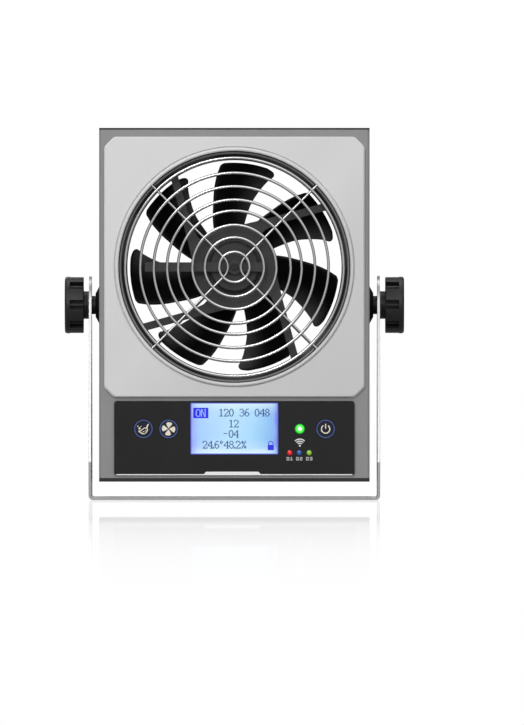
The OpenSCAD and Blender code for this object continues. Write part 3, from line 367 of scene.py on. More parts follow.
def lens():
    """Clear display window: mostly see-through, with a sharp reflection."""
    m, nt, b = clear("lcd_glass")
    b.inputs["Alpha"].default_value = 0.012
    b.inputs["IOR"].default_value = 1.36
    n = noise(nt, coords(nt), 12.0, 2.0)
    nt.links.new(ramp(nt, n, [(0.3, (0.30, 0.38, 0.45)), (0.7, (0.36, 0.44, 0.52))]), b.inputs["Base Color"])
    nt.links.new(remap(nt, noise(nt, coords(nt), 150.0), 0.3, 0.7, 0.04, 0.09), b.inputs["Roughness"])
    return m


M["lcd_glass"] = lens()


def backlight():
    """Lit display: lavender at the left, sky blue, paler at the top and bottom edges."""
    m, nt, b = clear("lcd_backlight")
    tc = coords(nt)
    sep = nt.nodes.new("ShaderNodeSeparateXYZ")
    nt.links.new(tc, sep.inputs[0])
    u = remap(nt, sep.outputs["X"], -0.0243, 0.0243, 0.0, 1.0)
    v = remap(nt, sep.outputs["Z"], 0.0253, 0.05395, 0.0, 1.0)
    soft = remap(nt, noise(nt, tc, 55.0, 2.0), 0.3, 0.7, -0.06, 0.06)
    across = ramp(nt, math2(nt, "ADD", u, math2(nt, "MULTIPLY", soft, 0.5)), [(0.0, (0.20, 0.20, 0.95)), (0.035, (0.32, 0.42, 1.0)), (0.10, (0.36, 0.60, 1.0)), (0.24, (0.42, 0.68, 1.0)),
                                                    (0.45, (0.46, 0.76, 1.0)), (0.70, (0.38, 0.69, 1.0)), (0.90, (0.24, 0.52, 0.90)), (0.97, (0.24, 0.44, 0.90)), (1.0, (0.16, 0.22, 0.85))])
    pale = ramp(nt, math2(nt, "ADD", v, math2(nt, "MULTIPLY", soft, 0.5)), [(0.0, (0.95, 0.95, 0.95)), (0.05, (0.75, 0.75, 0.75)), (0.13, (0.25, 0.25, 0.25)),
                                                  (0.3, (0.04, 0.04, 0.04)), (0.8, (0.12, 0.12, 0.12)), (0.92, (0.5, 0.5, 0.5)), (1.0, (0.95, 0.95, 0.95))])
    middle = ramp(nt, u, [(0.0, (0.1, 0.1, 0.1)), (0.08, (0.7, 0.7, 0.7)), (0.3, (1, 1, 1)), (0.75, (1, 1, 1)), (0.93, (0.7, 0.7, 0.7)), (1.0, (0.1, 0.1, 0.1))])
    k = mix(nt, 1.0, pale, middle, "MULTIPLY")
    bw = nt.nodes.new("ShaderNodeRGBToBW")
    nt.links.new(k, bw.inputs[0])
    col = mix(nt, bw.outputs[0], across, (0.80, 0.97, 1.0))
    nt.links.new(col, b.inputs["Emission Color"])
    b.inputs["Emission Strength"].default_value = 0.97
    b.inputs["Base Color"].default_value = (0.01, 0.02, 0.03, 1)
    b.inputs["Roughness"].default_value = 0.6
    return m


M["backlight"] = backlight()
M["lcd_body"] = skin("lcd_body", (0.30, 0.34, 0.36), rough=0.4, mottle=0.05, grain=0.2)
M["lcd_edge"] = ink("lcd_edge", (0.10, 0.12, 0.55), 0.5, 0.9, 0.1)
M["lcd_ink"] = ink("lcd_ink", (0.012, 0.030, 0.15), 0.5, 0.7, 0.1)
M["lcd_box"] = ink("lcd_box", (0.022, 0.018, 0.46), 0.5, 0.9, 0.1)
M["lcd_pale"] = ink("lcd_pale", (0.20, 0.31, 0.92), 0.5, 0.75, 0.1)
M["lamp_green"] = radial_glow("lamp_green", LAMP.x, LAMP.z, [(0.0, (1.0, 0.82, 0.92)), (0.7, (0.85, 0.95, 0.8)), (1.15, (0.12, 0.9, 0.12)), (2.1, (0.02, 0.60, 0.03)), (2.75, (0.010, 0.20, 0.012))], 0.9)
M["lamp_red"] = radial_glow("lamp_red", MINI[0].x, MINI[0].z, [(0.0, (0.72, 0.016, 0.028)), (0.9, (0.55, 0.010, 0.016)), (1.5, (0.20, 0.006, 0.008))], 0.62)
M["lamp_blue"] = radial_glow("lamp_blue", MINI[1].x, MINI[1].z, [(0.0, (0.020, 0.085, 0.30)), (0.9, (0.014, 0.06, 0.24)), (1.5, (0.007, 0.025, 0.10))], 0.7)
M["lamp_green2"] = radial_glow("lamp_green2", MINI[2].x, MINI[2].z, [(0.0, (0.22, 0.46, 0.035)), (0.9, (0.16, 0.36, 0.02)), (1.5, (0.06, 0.14, 0.012))], 0.65)
M["ink_white"] = ink("ink_white", (0.95, 0.95, 0.95), 0.5)
M["ink_cream"] = ink("ink_cream", (0.86, 0.80, 0.66), 0.45)
M["ink_grey"] = ink("ink_grey", (0.55, 0.55, 0.55), 0.5)
M["ink_blue"] = ink("ink_blue", (0.060, 0.115, 0.36), 0.45)

SLOT = {s["node"]: s["material_slot"] for s in frame["record"]["subparts"]}
ALIAS = {"lcd_backlight": "lcd_body"}
for name, o in frame["nodes"].items():
    mat = M["ring_plastic"] if name == "emitter_ring" else M[ALIAS.get(SLOT[name], SLOT[name])]
    if not o.material_slots:
        o.data.materials.append(mat)
    for s in o.material_slots:
        s.material = mat


# ------------------------------------------------------------------ mesh helpers
def finish_mesh(name, bm, mat, body, smooth=False, angle=None):
    bmesh.ops.recalc_face_normals(bm, faces=bm.faces)
    me = bpy.data.meshes.new(name)
    bm.to_mesh(me)
    bm.free()
    me.materials.append(mat)
    if smooth:
        for p in me.polygons:
            p.use_smooth = True
        if angle is not None:
            me.set_sharp_from_angle(angle=angle)
    o = bpy.data.objects.new(name, me)
    SC.collection.objects.link(o)
    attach(o, body)
    return o


def prism(bm, poly, y, t):
    """A closed flat prism facing -Y from an outline of (x, z) in mm."""
    front = [bm.verts.new((x * MM, y * MM, z * MM)) for x, z in poly]
    back = [bm.verts.new((x * MM, (y + t) * MM, z * MM)) for x, z in poly]
    bm.faces.new(front)
    bm.faces.new(list(reversed(back)))
    n = len(poly)
    for i in range(n):
        j = (i + 1) % n
        bm.faces.new((front[i], back[i], back[j], front[j]))


def ring(bm, cx, cz, r0, r1, y, t, n=72, a0=0.0, a1=360.0):
    """A flat ring or arc facing -Y."""
    full = abs(a1 - a0) >= 360
    m = n if full else n + 1
    cols = []
    for i in range(m):
        a = math.radians(a0 + (a1 - a0) * i / n)
        c, s = math.cos(a), math.sin(a)
        cols.append([bm.verts.new(((cx + r * c) * MM, yy * MM, (cz + r * s) * MM)) for r, yy in ((r0, y), (r1, y), (r1, y + t), (r0, y + t))])
    for i in range(n if full else n):
        a, b = cols[i], cols[(i + 1) % m]
        for k in range(4):
            bm.faces.new((a[k], b[k], b[(k + 1) % 4], a[(k + 1) % 4]))
    if not full:
        bm.faces.new(cols[0])
        bm.faces.new(list(reversed(cols[-1])))


def disc(cx, cz, r, n=40):
    return [(cx + r * math.cos(2 * math.pi * i / n), cz + r * math.sin(2 * math.pi * i / n)) for i in range(n)]


def stroke(pts, w, cap=8):
    """Outline of a line of width w through two points, with round ends."""
    (x0, z0), (x1, z1) = pts
    a = math.atan2(z1 - z0, x1 - x0)
    out = []
    for i in range(cap + 1):
        t = a - math.pi / 2 + math.pi * i / cap
        out.append((x1 + w / 2 * math.cos(t), z1 + w / 2 * math.sin(t)))
    for i in range(cap + 1):
        t = a + math.pi / 2 + math.pi * i / cap
        out.append((x0 + w / 2 * math.cos(t), z0 + w / 2 * math.sin(t)))
    return out


def rect(x0, z0, x1, z1):
    return [(x0, z0), (x1, z0), (x1, z1), (x0, z1)]


def lathe(bm, prof, n=96, cz=0.0, cx=0.0):
    """Profile of (radius, y) in mm round an axis along Y. Closed profile; zero radius closes on the axis."""
    cols = []
    for i in range(n):
        a = 2 * math.pi * i / n
        c, s = math.cos(a), math.sin(a)
        cols.append([(cx + r * c, y, cz + r * s) for r, y in prof])
    verts = []
    pole = {}
    for i in range(n):
        row = []
        for k, (x, y, z) in enumerate(cols[i]):
            if prof[k][0] < 1e-9:
                if k not in pole:
                    pole[k] = bm.verts.new((x * MM, y * MM, z * MM))
                row.append(pole[k])
            else:
                row.append(bm.verts.new((x * MM, y * MM, z * MM)))
        verts.append(row)
    m = len(prof)
    for i in range(n):
        a, b = verts[i], verts[(i + 1) % n]
        for k in range(m):
            q = [a[k], b[k], b[(k + 1) % m], a[(k + 1) % m]]
            u = []
            for w in q:
                if w not in u:
                    u.append(w)
            if len(u) >= 3:
                bm.faces.new(u)


# ------------------------------------------------------------------ printed marks on the control panel
PY = CTL_Y - 0.05
bm = bmesh.new()
prism(bm, rect(-65.4, PANEL_BOTTOM + 0.02, 65.4, PANEL_BOTTOM + 0.58), PY, 0.08)
prism(bm, [(-16.9, PANEL_BOTTOM + 0.50), (14.6, PANEL_BOTTOM + 0.50), (13.4, PANEL_BOTTOM + 1.95), (-15.7, PANEL_BOTTOM + 1.95)], PY - 0.01, 0.09)
finish_mesh("panel_line", bm, M["ink_white"], "head")

for n, k in KEY.items():
    bm = bmesh.new()
    ring(bm, k.x, k.z, 4.60, 5.07, KEY_Y - 0.045, 0.08, 96)
    finish_mesh("outline_" + n, bm, M["ink_blue"], {"key_clean": "clean_key", "key_fan": "fan_key", "key_power": "power_key"}[n])

bm = bmesh.new()
wx, wz = LAMP.x, 29.95
prism(bm, disc(wx, wz + 0.1, 0.5, 24), PY, 0.08)
for r in (1.5, 2.65, 3.8):
    ring(bm, wx, wz, r - 0.26, r + 0.26, PY, 0.08, 20, 45, 135)
finish_mesh("wireless_mark", bm, M["ink_white"], "head")

TINY = {
    "0": ("111", "101", "101", "101", "111"), "1": ("010", "110", "010", "010", "111"),
    "2": ("111", "001", "111", "100", "111"), "3": ("111", "001", "111", "001", "111"),
}


def dots(bm, rows, x, z, dx, dz, y, t, fat=-0.02):
    """Runs of lit dots as flat bars; (x, z) is the top left corner and fat widens every bar."""
    for j, row in enumerate(rows):
        i = 0
        while i < len(row):
            if row[i] in "1#":
                k = i
                while k < len(row) and row[k] in "1#":
                    k += 1
                prism(bm, rect(x + i * dx - fat, z - (j + 1) * dz + 0.01, x + k * dx + fat, z - j * dz - 0.01), y + 0.0004 * j, t)
                i = k
            else:
                i += 1


bm = bmesh.new()
for word, c in (("01", MINI[0]), ("02", MINI[1]), ("03", MINI[2])):
    w = (len(word) * 4 - 1) * 0.50
    for i, ch in enumerate(word):
        dots(bm, TINY[ch], c.x - w / 2 + i * 4 * 0.50, c.z - 2.4, 0.50, 0.38, PY, 0.08)
finish_mesh("lamp_numbers", bm, M["ink_grey"], "head")

# ------------------------------------------------------------------ key icons
KY = KEY_Y - 0.05
c = KEY["key_fan"]
bm = bmesh.new()
for q in range(4):
    mid = 86 + 90 * q
    pts = []
    for r, a in ((0.30, 0), (1.1, -27), (2.4, -33), (3.15, -33), (3.5, -30), (3.68, -24), (3.72, -12), (3.7, 0), (3.66, 12), (3.55, 21), (3.3, 27), (2.9, 30), (2.0, 30), (1.0, 26)):
        t = math.radians(mid + a)
        pts.append((c.x + r * math.cos(t), c.z + r * math.sin(t)))
    prism(bm, pts, KY, 0.08)
finish_mesh("icon_fan", bm, M["ink_cream"], "fan_key")

c = KEY["key_power"]
bm = bmesh.new()
ring(bm, c.x, c.z - 0.1, 2.0, 2.62, KY, 0.08, 48, 124, 416)
prism(bm, stroke([(c.x, c.z + 0.35), (c.x, c.z + 2.55)], 0.6), KY, 0.08)
finish_mesh("icon_power", bm, M["ink_cream"], "power_key")

c = KEY["key_clean"]
bm = bmesh.new()
for a, b2, w in (((-2.6, -1.3), (-0.6, -2.65), 0.62), ((-0.6, -2.65), (0.95, -2.65), 0.66), ((0.95, -2.65), (2.2, -0.9), 0.66), ((2.2, -0.9), (2.1, 0.35), 0.6),
                 ((-1.5, -1.0), (0.45, 0.5), 0.45), ((0.45, 0.5), (2.05, 0.45), 0.5), ((1.75, 0.6), (2.6, 2.4), 0.72), ((-1.5, -1.0), (-2.5, -1.2), 0.4),
                 ((-0.35, -1.75), (0.3, -1.35), 0.3), ((0.85, -1.2), (1.25, -0.65), 0.28), ((-1.9, 1.0), (-0.9, 1.55), 0.26)):
    prism(bm, stroke([(c.x + a[0], c.z + a[1]), (c.x + b2[0], c.z + b2[1])], w), KY - 0.004 * w, 0.08)
prism(bm, disc(c.x - 2.2, c.z + 0.25, 0.6, 20), KY, 0.08)
prism(bm, disc(c.x - 3.1, c.z + 1.45, 0.36, 16), KY, 0.08)
finish_mesh("icon_clean", bm, M["ink_cream"], "clean_key")

# ------------------------------------------------------------------ display
X0, X1, Z0, Z1 = -24.3, 24.3, 25.3, 53.9
bm = bmesh.new()
prism(bm, rect(X0, Z0, X1, Z1), GLASS_Y - 0.03, 0.02)
finish_mesh("display_light", bm, M["backlight"], "head")
bm = bmesh.new()
e = 0.5
for q in (rect(X0, Z0, X1, Z0 + e), rect(X0, Z1 - e, X1, Z1), rect(X0, Z0 + e, X0 + e, Z1 - e), rect(X1 - e, Z0 + e, X1, Z1 - e)):
    prism(bm, q, GLASS_Y - 0.045, 0.014)
finish_mesh("display_edge", bm, M["lcd_edge"], "head")

G = {
    "0": "..###..|.#...#.|.#...#.|#.....#|#.....#|#.....#|#.....#|.#...#.|.#...#.|..###..",
    "1": "...#...|.###...|...#...|...#...|...#...|...#...|...#...|...#...|...#...|.#####.",
    "2": ".####..|#....#.|#.....#|......#|.....#.|....#..|...#...|..#....|.#....#|#######",
    "3": ".####..|#....#.|.....#.|.....#.|..###..|.....#.|......#|......#|#....#.|.####..",
    "4": ".....#.|....##.|...#.#.|..#..#.|.#...#.|#....#.|#######|.....#.|.....#.|....###",
    "5": "######.|#......|#......|#.###..|##...#.|#.....#|......#|#.....#|##...#.|.####..",
    "6": "...###.|..#....|.#.....|#......|#.###..|##...#.|#.....#|#.....#|.#...#.|..###..",
    "8": "..###..|.#...#.|#.....#|.#...#.|..###..|.#...#.|#.....#|#.....#|.#...#.|..###..",
    "-": ".......|.......|.......|.......|#####..|.......|.......|.......|.......|.......",
    "%": ".#....#|#.#..#.|#.#..#.|.#..#..|...#...|...#...|..#..#.|.#..#.#|.#..#.#|#....#.",
    ".": ".......|.......|.......|.......|.......|.......|.......|.......|##.....|##.....",
    "o": "..##...|.#..#..|.#..#..|..##...|.......|.......|.......|.......|.......|.......",
    "O": "..###..|.#...#.|#.....#|#.....#|#.....#|#.....#|#.....#|#.....#|.#...#.|..###..",
    "N": "##...##|##....#|#.#...#|#.#...#|#..#..#|#..#..#|#...#.#|#...#.#|#....##|#....##",
}
DX, DZ, PITCH = 0.354, 0.43, 2.83


def line(bm, text, x, zc, y, t):
    for i, ch in enumerate(text):
        if ch != " ":
            dots(bm, G[ch].split("|"), x + i * PITCH, zc + 5 * DZ, DX, DZ, y, t, 0.12)


TY = GLASS_Y - 0.050
bm = bmesh.new()
for chars, x, zc in (("120", -8.55, 48.4), ("36", 2.95, 48.4), ("048", 11.35, 48.4), ("12", -3.0, 42.3), ("-04", -5.9, 36.6),
                     ("24", -17.5, 30.6), (".", -12.0, 30.6), ("6", -10.9, 30.6), ("o", -8.3, 30.6),
                     ("48", -5.7, 30.6), (".", -0.2, 30.6), ("2", 0.9, 30.6), ("%", 4.0, 30.6)):
    line(bm, chars, x, zc, TY, 0.02)
finish_mesh("display_text", bm, M["lcd_ink"], "head")
bm = bmesh.new()
prism(bm, rect(-22.8, 45.3, -14.4, 51.1), TY, 0.02)
prism(bm, rect(18.5, 27.6, 21.9, 30.5), TY, 0.02)
ring(bm, 20.2, 31.2, 1.05, 1.5, TY, 0.02, 18, 0, 180)
for x in (18.7, 21.25):
    prism(bm, rect(x, 30.4, x + 0.45, 31.3), TY + 0.001, 0.018)
finish_mesh("display_boxes", bm, M["lcd_box"], "head")
bm = bmesh.new()
line(bm, "ON", -21.3, 48.2, TY - 0.012, 0.011)
finish_mesh("display_inverse", bm, M["lcd_pale"], "head")

# ------------------------------------------------------------------ impeller, as one smooth moulding
BR = [22, 29, 36.5, 44.5, 52, 55, 57.2, 58.1]
TR = [-29, -23.5, -18.2, -14.2, -10.4, -8.6, -7.2, -5.2]
LE = [12.0, 12.8, 14.3, 17.7, 21.3, 23.2, 21.8, 18.0]


def hermite(xs, ys, x):
    i = max(j for j in range(len(xs) - 1) if xs[j] <= x + 1e-9)
    h = xs[i + 1] - xs[i]

    def slope(k):
        if k == 0:
            return (ys[1] - ys[0]) / (xs[1] - xs[0])
        if k == len(xs) - 1:
            return (ys[-1] - ys[-2]) / (xs[-1] - xs[-2])
        return (ys[k + 1] - ys[k - 1]) / (xs[k + 1] - xs[k - 1])

    t = (x - xs[i]) / h
    return ((2 * t ** 3 - 3 * t * t + 1) * ys[i] + (t ** 3 - 2 * t * t + t) * h * slope(i)
            + (-2 * t ** 3 + 3 * t * t) * ys[i + 1] + (t ** 3 - t * t) * h * slope(i + 1))


def blade_point(r, s, side):
    ss = s
    ta, la = hermite(BR, TR, r), hermite(BR, LE, r)
    w = la - ta
    yf, ybk = FAN_Y0 + 6.2, FAN_Y0 + 33.5
    k = 7 * (r - BR[0]) / (BR[-1] - BR[0])
    dy = (ybk - yf) * (0.9 + 0.1 * k / 7)
    ys = yf + (27.3 - dy) / 2
    a = ta + w * ss
    y = ys + dy * ss + 10 * ss * (1 - ss)
    da = math.radians(w) * r
    dd = dy + 10 * (1 - 2 * ss)
    L = math.hypot(da, dd)
    t = (0.55 + 1.0 * math.sqrt(max(0.0, 4 * ss * (1 - ss)))) * side
    aa = math.radians(a) - t * dd / L / r
    yy = y + t * da / L
    return Vector((r * math.sin(aa), yy, FAN_Z + r * math.cos(aa)))


NB, NR, NS = 7, 30, 22
bm = bmesh.new()
# The chord value drives the blades' painted light, lighter towards the leading edge and weaker near the root
CHORD = bm.verts.layers.float.new("chord")      # 0 at a blade's trailing edge, 1 at its leading edge
for q in range(NB):
    spin = Matrix.Rotation(2 * math.pi / NB * q, 4, "Y")
    rows = []
    for i in range(NR + 1):
        r = BR[0] + (BR[-1] - BR[0]) * (1 - (1 - i / NR) ** 1.6)
        loop = []
        for j in range(NS + 1):
            s = 0.5 - 0.5 * math.cos(math.pi * j / NS)
            loop.append((blade_point(r, s, -1), s))
        for j in range(NS, -1, -1):
            s = 0.5 - 0.5 * math.cos(math.pi * j / NS)
            loop.append((blade_point(r, s, 1), s))
        row = []
        for p, s in loop:
            v = spin @ Vector((p.x, p.y, p.z - FAN_Z))
            vert = bm.verts.new((v.x * MM, v.y * MM, (v.z + FAN_Z) * MM))
            vert[CHORD] = s * (0.8 + 0.2 * min(1.0, (r - 22) / 18))
            row.append(vert)
        rows.append(row)
    m = len(rows[0])
    for i in range(NR):
        for j in range(m):
            bm.faces.new((rows[i][j], rows[i + 1][j], rows[i + 1][(j + 1) % m], rows[i][(j + 1) % m]))
    for row, flip in ((rows[0], False), (rows[-1], True)):
        for j in range(NS):
            f = [row[j], row[j + 1], row[m - 2 - j], row[m - 1 - j]]
            bm.faces.new(f if flip else list(reversed(f)))
HR, YA, YC = 23.2, FAN_Y0 + 5.2, FAN_Y0 + 34
prof = [(0, YC), (3.0, YC), (3.4, YC - 0.5), (15.6, YC - 0.5), (16.0, YC)]
prof += [(HR - 4 + 4 * math.cos(math.radians(90 - 11.25 * i)), YC - 4 + 4 * math.sin(math.radians(90 - 11.25 * i))) for i in range(9)]
prof += [(HR, YA + 0.3), (HR - 0.3, YA), (21.4, YA), (21.4, YC - 4.2), (0, YC - 4.2)]
had = len(bm.verts)
lathe(bm, prof, 128, FAN_Z)
bm.verts.ensure_lookup_table()
for v in list(bm.verts)[had:]:
    # The hub takes one fixed value of the blades' painted shading
    v[CHORD] = 0.55
imp = finish_mesh("impeller_moulding", bm, M["blade_plastic"], "rotor", True, math.radians(38))
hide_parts("impeller")

# ------------------------------------------------------------------ bristles of the cleaning brush
lo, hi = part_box("cleaning_brush")
lo, hi = lo / MM, hi / MM
bm = bmesh.new()
prism(bm, rect(lo.x + 0.2, lo.z + 0.15, hi.x - 0.2, hi.z - 0.15), lo.y + 0.02, 0.5)
nx, nz = 13, 10
for i in range(nx):
    for j in range(nz):
        h = math.sin(12.9898 * i + 78.233 * j) * 43758.5453
        h -= math.floor(h)
        g = math.sin(39.425 * i + 11.135 * j) * 24634.6345
        g -= math.floor(g)
        x = lo.x + 0.35 + (hi.x - lo.x - 0.7) * i / (nx - 1)
        z = lo.z + 0.3 + (hi.z - lo.z - 0.6) * j / (nz - 1)
        top = hi.y - 0.22 * h
        base = [(x + 0.12 * math.cos(a), z + 0.12 * math.sin(a)) for a in (0, 2.094, 4.189)]
        tip = [(px + 0.22 * (g - 0.5), pz + 0.22 * (h - 0.5)) for px, pz in base]
        b0 = [bm.verts.new((px * MM, (lo.y + 0.4) * MM, pz * MM)) for px, pz in base]
        b1 = [bm.verts.new((px * MM, top * MM, pz * MM)) for px, pz in tip]
        bm.faces.new(b0)
        bm.faces.new(list(reversed(b1)))
        for k in range(3):
            bm.faces.new((b0[k], b1[k], b1[(k + 1) % 3], b0[(k + 1) % 3]))
o = finish_mesh("brush_bristles", bm, M["bristle"], "cleaner")
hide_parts("cleaning_brush")


# ------------------------------------------------------------------ pan-head screws on the back
def pan_head(name, r, h, mat, cross=True):
    bm = bmesh.new()
    prof = [(0, h)]
    for i in range(1, 9):
        a = math.radians(90 - 9 * i)
        prof.append((r * math.cos(a) * 0.985, h - 0.42 * h * (1 - math.sin(a)) * 1.9))
    prof += [(r, 0.32 * h), (r, 0.06), (r - 0.06, 0), (0, 0)]
    lathe(bm, prof, 40)
    bmesh.ops.recalc_face_normals(bm, faces=bm.faces)
    me = bpy.data.meshes.new(name)
    bm.to_mesh(me)
    bm.free()
    o = bpy.data.objects.new(name, me)
    SC.collection.objects.link(o)
    if cross:
        cb = bmesh.new()
        for q in range(2):
            w, L, d = 0.26 * r / 2, 0.62 * r, 0.62 * h
            pts = []
            for y, k in ((h - d, 0.55), (h + 0.4, 1.12)):
                for sx, sz in ((-1, -1), (1, -1), (1, 1), (-1, 1)):
                    x, z = sx * L * k, sz * w * (0.8 if y < h else 1.1)
                    if q:
                        x, z = -z, x
                    pts.append(cb.verts.new((x * MM, y * MM, z * MM)))
            f = [(0, 1, 2, 3), (7, 6, 5, 4), (0, 4, 5, 1), (1, 5, 6, 2), (2, 6, 7, 3), (3, 7, 4, 0)]
            for g in f:
                cb.faces.new([pts[k] for k in g])
        bmesh.ops.recalc_face_normals(cb, faces=cb.faces)
        cm = bpy.data.meshes.new(name + "_cut")
        cb.to_mesh(cm)
        cb.free()
        co = bpy.data.objects.new(name + "_cut", cm)
        SC.collection.objects.link(co)
        md = o.modifiers.new("cut", "BOOLEAN")
        md.operation = "DIFFERENCE"
        md.object = co
        md.solver = "EXACT"
        md.use_self = True
        dg = bpy.context.evaluated_depsgraph_get()
        new = bpy.data.meshes.new_from_object(o.evaluated_get(dg))
        o.modifiers.clear()
        o.data = new
        bpy.data.objects.remove(co)
    out = o.data
    bpy.data.objects.remove(o)
    out.materials.clear()
    out.materials.append(mat)
    for p in out.polygons:
        p.use_smooth = True
    out.set_sharp_from_angle(angle=math.radians(32))
    return out


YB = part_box("rear_shell")[1].y / MM
HP = 113.3 / 2
head_hi = pan_head("screw_head", 2.9, 1.68, M["nickel"])
spots = [(sx * HP, YB + 1.52, FAN_Z + sz * HP) for sx in (-1, 1) for sz in (-1, 1)]
spots += [(s * 68, YB, z) for s in (-1, 1) for z in (26, 108.2, 190)]
first = None
bm = bmesh.new()
for k, (x, y, z) in enumerate(spots):
    turn = Matrix.Rotation(math.radians(17 + 41 * k), 4, "Y")
    tmp = bmesh.new()
    tmp.from_mesh(head_hi)
    tmp.transform(Matrix.Translation((x * MM, y * MM, z * MM)) @ turn)
    t = bpy.data.meshes.new("tmp")
    tmp.to_mesh(t)
    tmp.free()
    bm.from_mesh(t)
    bpy.data.meshes.remove(t)
    lathe(bm, [(0, y + 0.01), (1.48, y + 0.01), (1.48, y - 4.4), (1.1, y - 4.9), (0, y - 4.9)], 24, z, x)
o = finish_mesh("rear_pan_screws", bm, M["nickel"], "head", True, math.radians(32))
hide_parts("rear_screws")

# ------------------------------------------------------------------ marks by the rear sockets
bm = bmesh.new()
jx, jz = centre("power_jack").x, centre("power_jack").z
gx, gz = centre("ground_stud").x, centre("ground_stud").z
by = YB - 0.03
zc = gz + 9.5
prism(bm, rect(gx - 0.25, zc, gx + 0.25, zc + 2.4), by, 0.08)
for w, d in ((2.4, 0), (1.6, -0.9), (0.8, -1.8)):
    prism(bm, rect(gx - w, zc + d - 0.2, gx + w, zc + d + 0.2), by, 0.081)
ring(bm, gx, zc + 0.1, 3.6, 3.95, by, 0.08, 64)
zc = jz + 10.2
prism(bm, rect(jx - 2.6, zc + 0.55, jx + 2.6, zc + 0.95), by, 0.08)
for k in (-1, 0, 1):
    prism(bm, rect(jx - 0.55 + 2.0 * k, zc - 0.75, jx + 0.55 + 2.0 * k, zc - 0.35), by, 0.08)
finish_mesh("rear_marks", bm, M["ink_white"], "head")

# ------------------------------------------------------------------ stage, lights, camera
bm = bmesh.new()
for x, y in ((-30, -30), (30, -30), (30, 60), (-30, 60)):
    bm.verts.new((x, y, -0.00005))
bm.faces.new(bm.verts)
me = bpy.data.meshes.new("floor")
bm.to_mesh(me)
bm.free()
floor = bpy.data.objects.new("floor", me)
SC.collection.objects.link(floor)
fm = bpy.data.materials.new("floor_white")
fm.use_nodes = True
nt = fm.node_tree
nt.nodes.clear()
out = nt.nodes.new("ShaderNodeOutputMaterial")
# Mirror-like sheen that fades away from the object; matt and slightly shaded close to it
sep = nt.nodes.new("ShaderNodeSeparateXYZ")
nt.links.new(coords(nt), sep.inputs[0])
away = math2(nt, "SQRT", math2(nt, "ADD", math2(nt, "MULTIPLY", sep.outputs["X"], sep.outputs["X"]), math2(nt, "MULTIPLY", sep.outputs["Y"], sep.outputs["Y"])))
dif = nt.nodes.new("ShaderNodeBsdfDiffuse")
nt.links.new(ramp(nt, remap(nt, away, 0.0, 2.0, 0.0, 1.0), [(0.0, (0.18, 0.18, 0.18)), (0.12, (0.18, 0.18, 0.18)), (0.6, (0.02, 0.02, 0.02)), (1.0, (0, 0, 0))]), dif.inputs["Color"])
emi = nt.nodes.new("ShaderNodeEmission")
emi.inputs["Color"].default_value = (1, 1, 1, 1)
flp = nt.nodes.new("ShaderNodeLightPath")
seen = remap(nt, away, 0.13, 0.7, 0.90, 1.0)
thrown = remap(nt, away, 0.15, 1.3, 0.16, 0.5)
both = math2(nt, "ADD", math2(nt, "MULTIPLY", seen, flp.outputs["Is Camera Ray"]), math2(nt, "MULTIPLY", thrown, math2(nt, "SUBTRACT", 1.0, flp.outputs["Is Camera Ray"])))
nt.links.new(both, emi.inputs["Strength"])
add = nt.nodes.new("ShaderNodeAddShader")
glo = nt.nodes.new("ShaderNodeBsdfGlossy")
glo.inputs["Color"].default_value = (1, 1, 1, 1)
glo.inputs["Roughness"].default_value = 0.015
fr = nt.nodes.new("ShaderNodeFresnel")
fr.inputs["IOR"].default_value = 1.45
fade = ramp(nt, remap(nt, away, 0.0, 5.0, 0.0, 1.0), [(0.0, (0.34, 0.34, 0.34)), (0.24, (0.33, 0.33, 0.33)), (0.31, (0.17, 0.17, 0.17)),
                                                        (0.42, (0.09, 0.09, 0.09)), (0.58, (0.03, 0.03, 0.03)), (0.8, (0, 0, 0))])
mx = nt.nodes.new("ShaderNodeMixShader")
nt.links.new(math2(nt, "MULTIPLY", fade, math2(nt, "POWER", fr.outputs[0], 1.5)), mx.inputs[0])
nt.links.new(dif.outputs[0], add.inputs[0])
nt.links.new(emi.outputs[0], add.inputs[1])
nt.links.new(add.outputs[0], mx.inputs[1])
nt.links.new(glo.outputs[0], mx.inputs[2])
nt.links.new(mx.outputs[0], out.inputs[0])
me.materials.append(fm)

world = bpy.data.worlds.new("studio")
SC.world = world
world.use_nodes = True
wn = world.node_tree
wn.nodes.clear()
wo = wn.nodes.new("ShaderNodeOutputWorld")
tc = wn.nodes.new("ShaderNodeTexCoord")
sp = wn.nodes.new("ShaderNodeSeparateXYZ")
wn.links.new(tc.outputs["Generated"], sp.inputs[0])
# Bright in front and above, dim behind and below
cr = wn.nodes.new("ShaderNodeValToRGB")
mr = wn.nodes.new("ShaderNodeMapRange")
mr.inputs["From Min"].default_value = -1
mr.inputs["From Max"].default_value = 1
wn.links.new(sp.outputs["Y"], mr.inputs["Value"])
wn.links.new(mr.outputs[0], cr.inputs["Fac"])
ce = cr.color_ramp.elements
ce[0].position, ce[0].color = 0.0, (0.78, 0.78, 0.78, 1)
ce[1].position, ce[1].color = 1.0, (1.3, 1.3, 1.3, 1)
for pos, val in ((0.11, 0.76), (0.18, 0.42), (0.25, 0.13), (0.40, 0.08), (0.60, 0.07), (0.985, 0.08)):
    el = ce.new(pos)
    el.color = (val, val, val, 1)
mz = wn.nodes.new("ShaderNodeMapRange")
mz.inputs["From Min"].default_value = -1
mz.inputs["From Max"].default_value = 1
wn.links.new(sp.outputs["Z"], mz.inputs["Value"])
cz = wn.nodes.new("ShaderNodeValToRGB")
wn.links.new(mz.outputs[0], cz.inputs["Fac"])
ze = cz.color_ramp.elements
ze[0].position, ze[0].color = 0.0, (0.4, 0.4, 0.4, 1)
ze[1].position, ze[1].color = 1.0, (1.2, 1.2, 1.2, 1)
for pos, val in ((0.47, 0.60), (0.515, 0.85), (0.60, 1.10), (0.71, 1.45), (0.85, 1.3)):
    el = ze.new(pos)
    el.color = (val, val, val, 1)
ml = wn.nodes.new("ShaderNodeMix")
ml.data_type = "RGBA"
ml.blend_type = "MULTIPLY"
ml.inputs["Factor"].default_value = 1.0
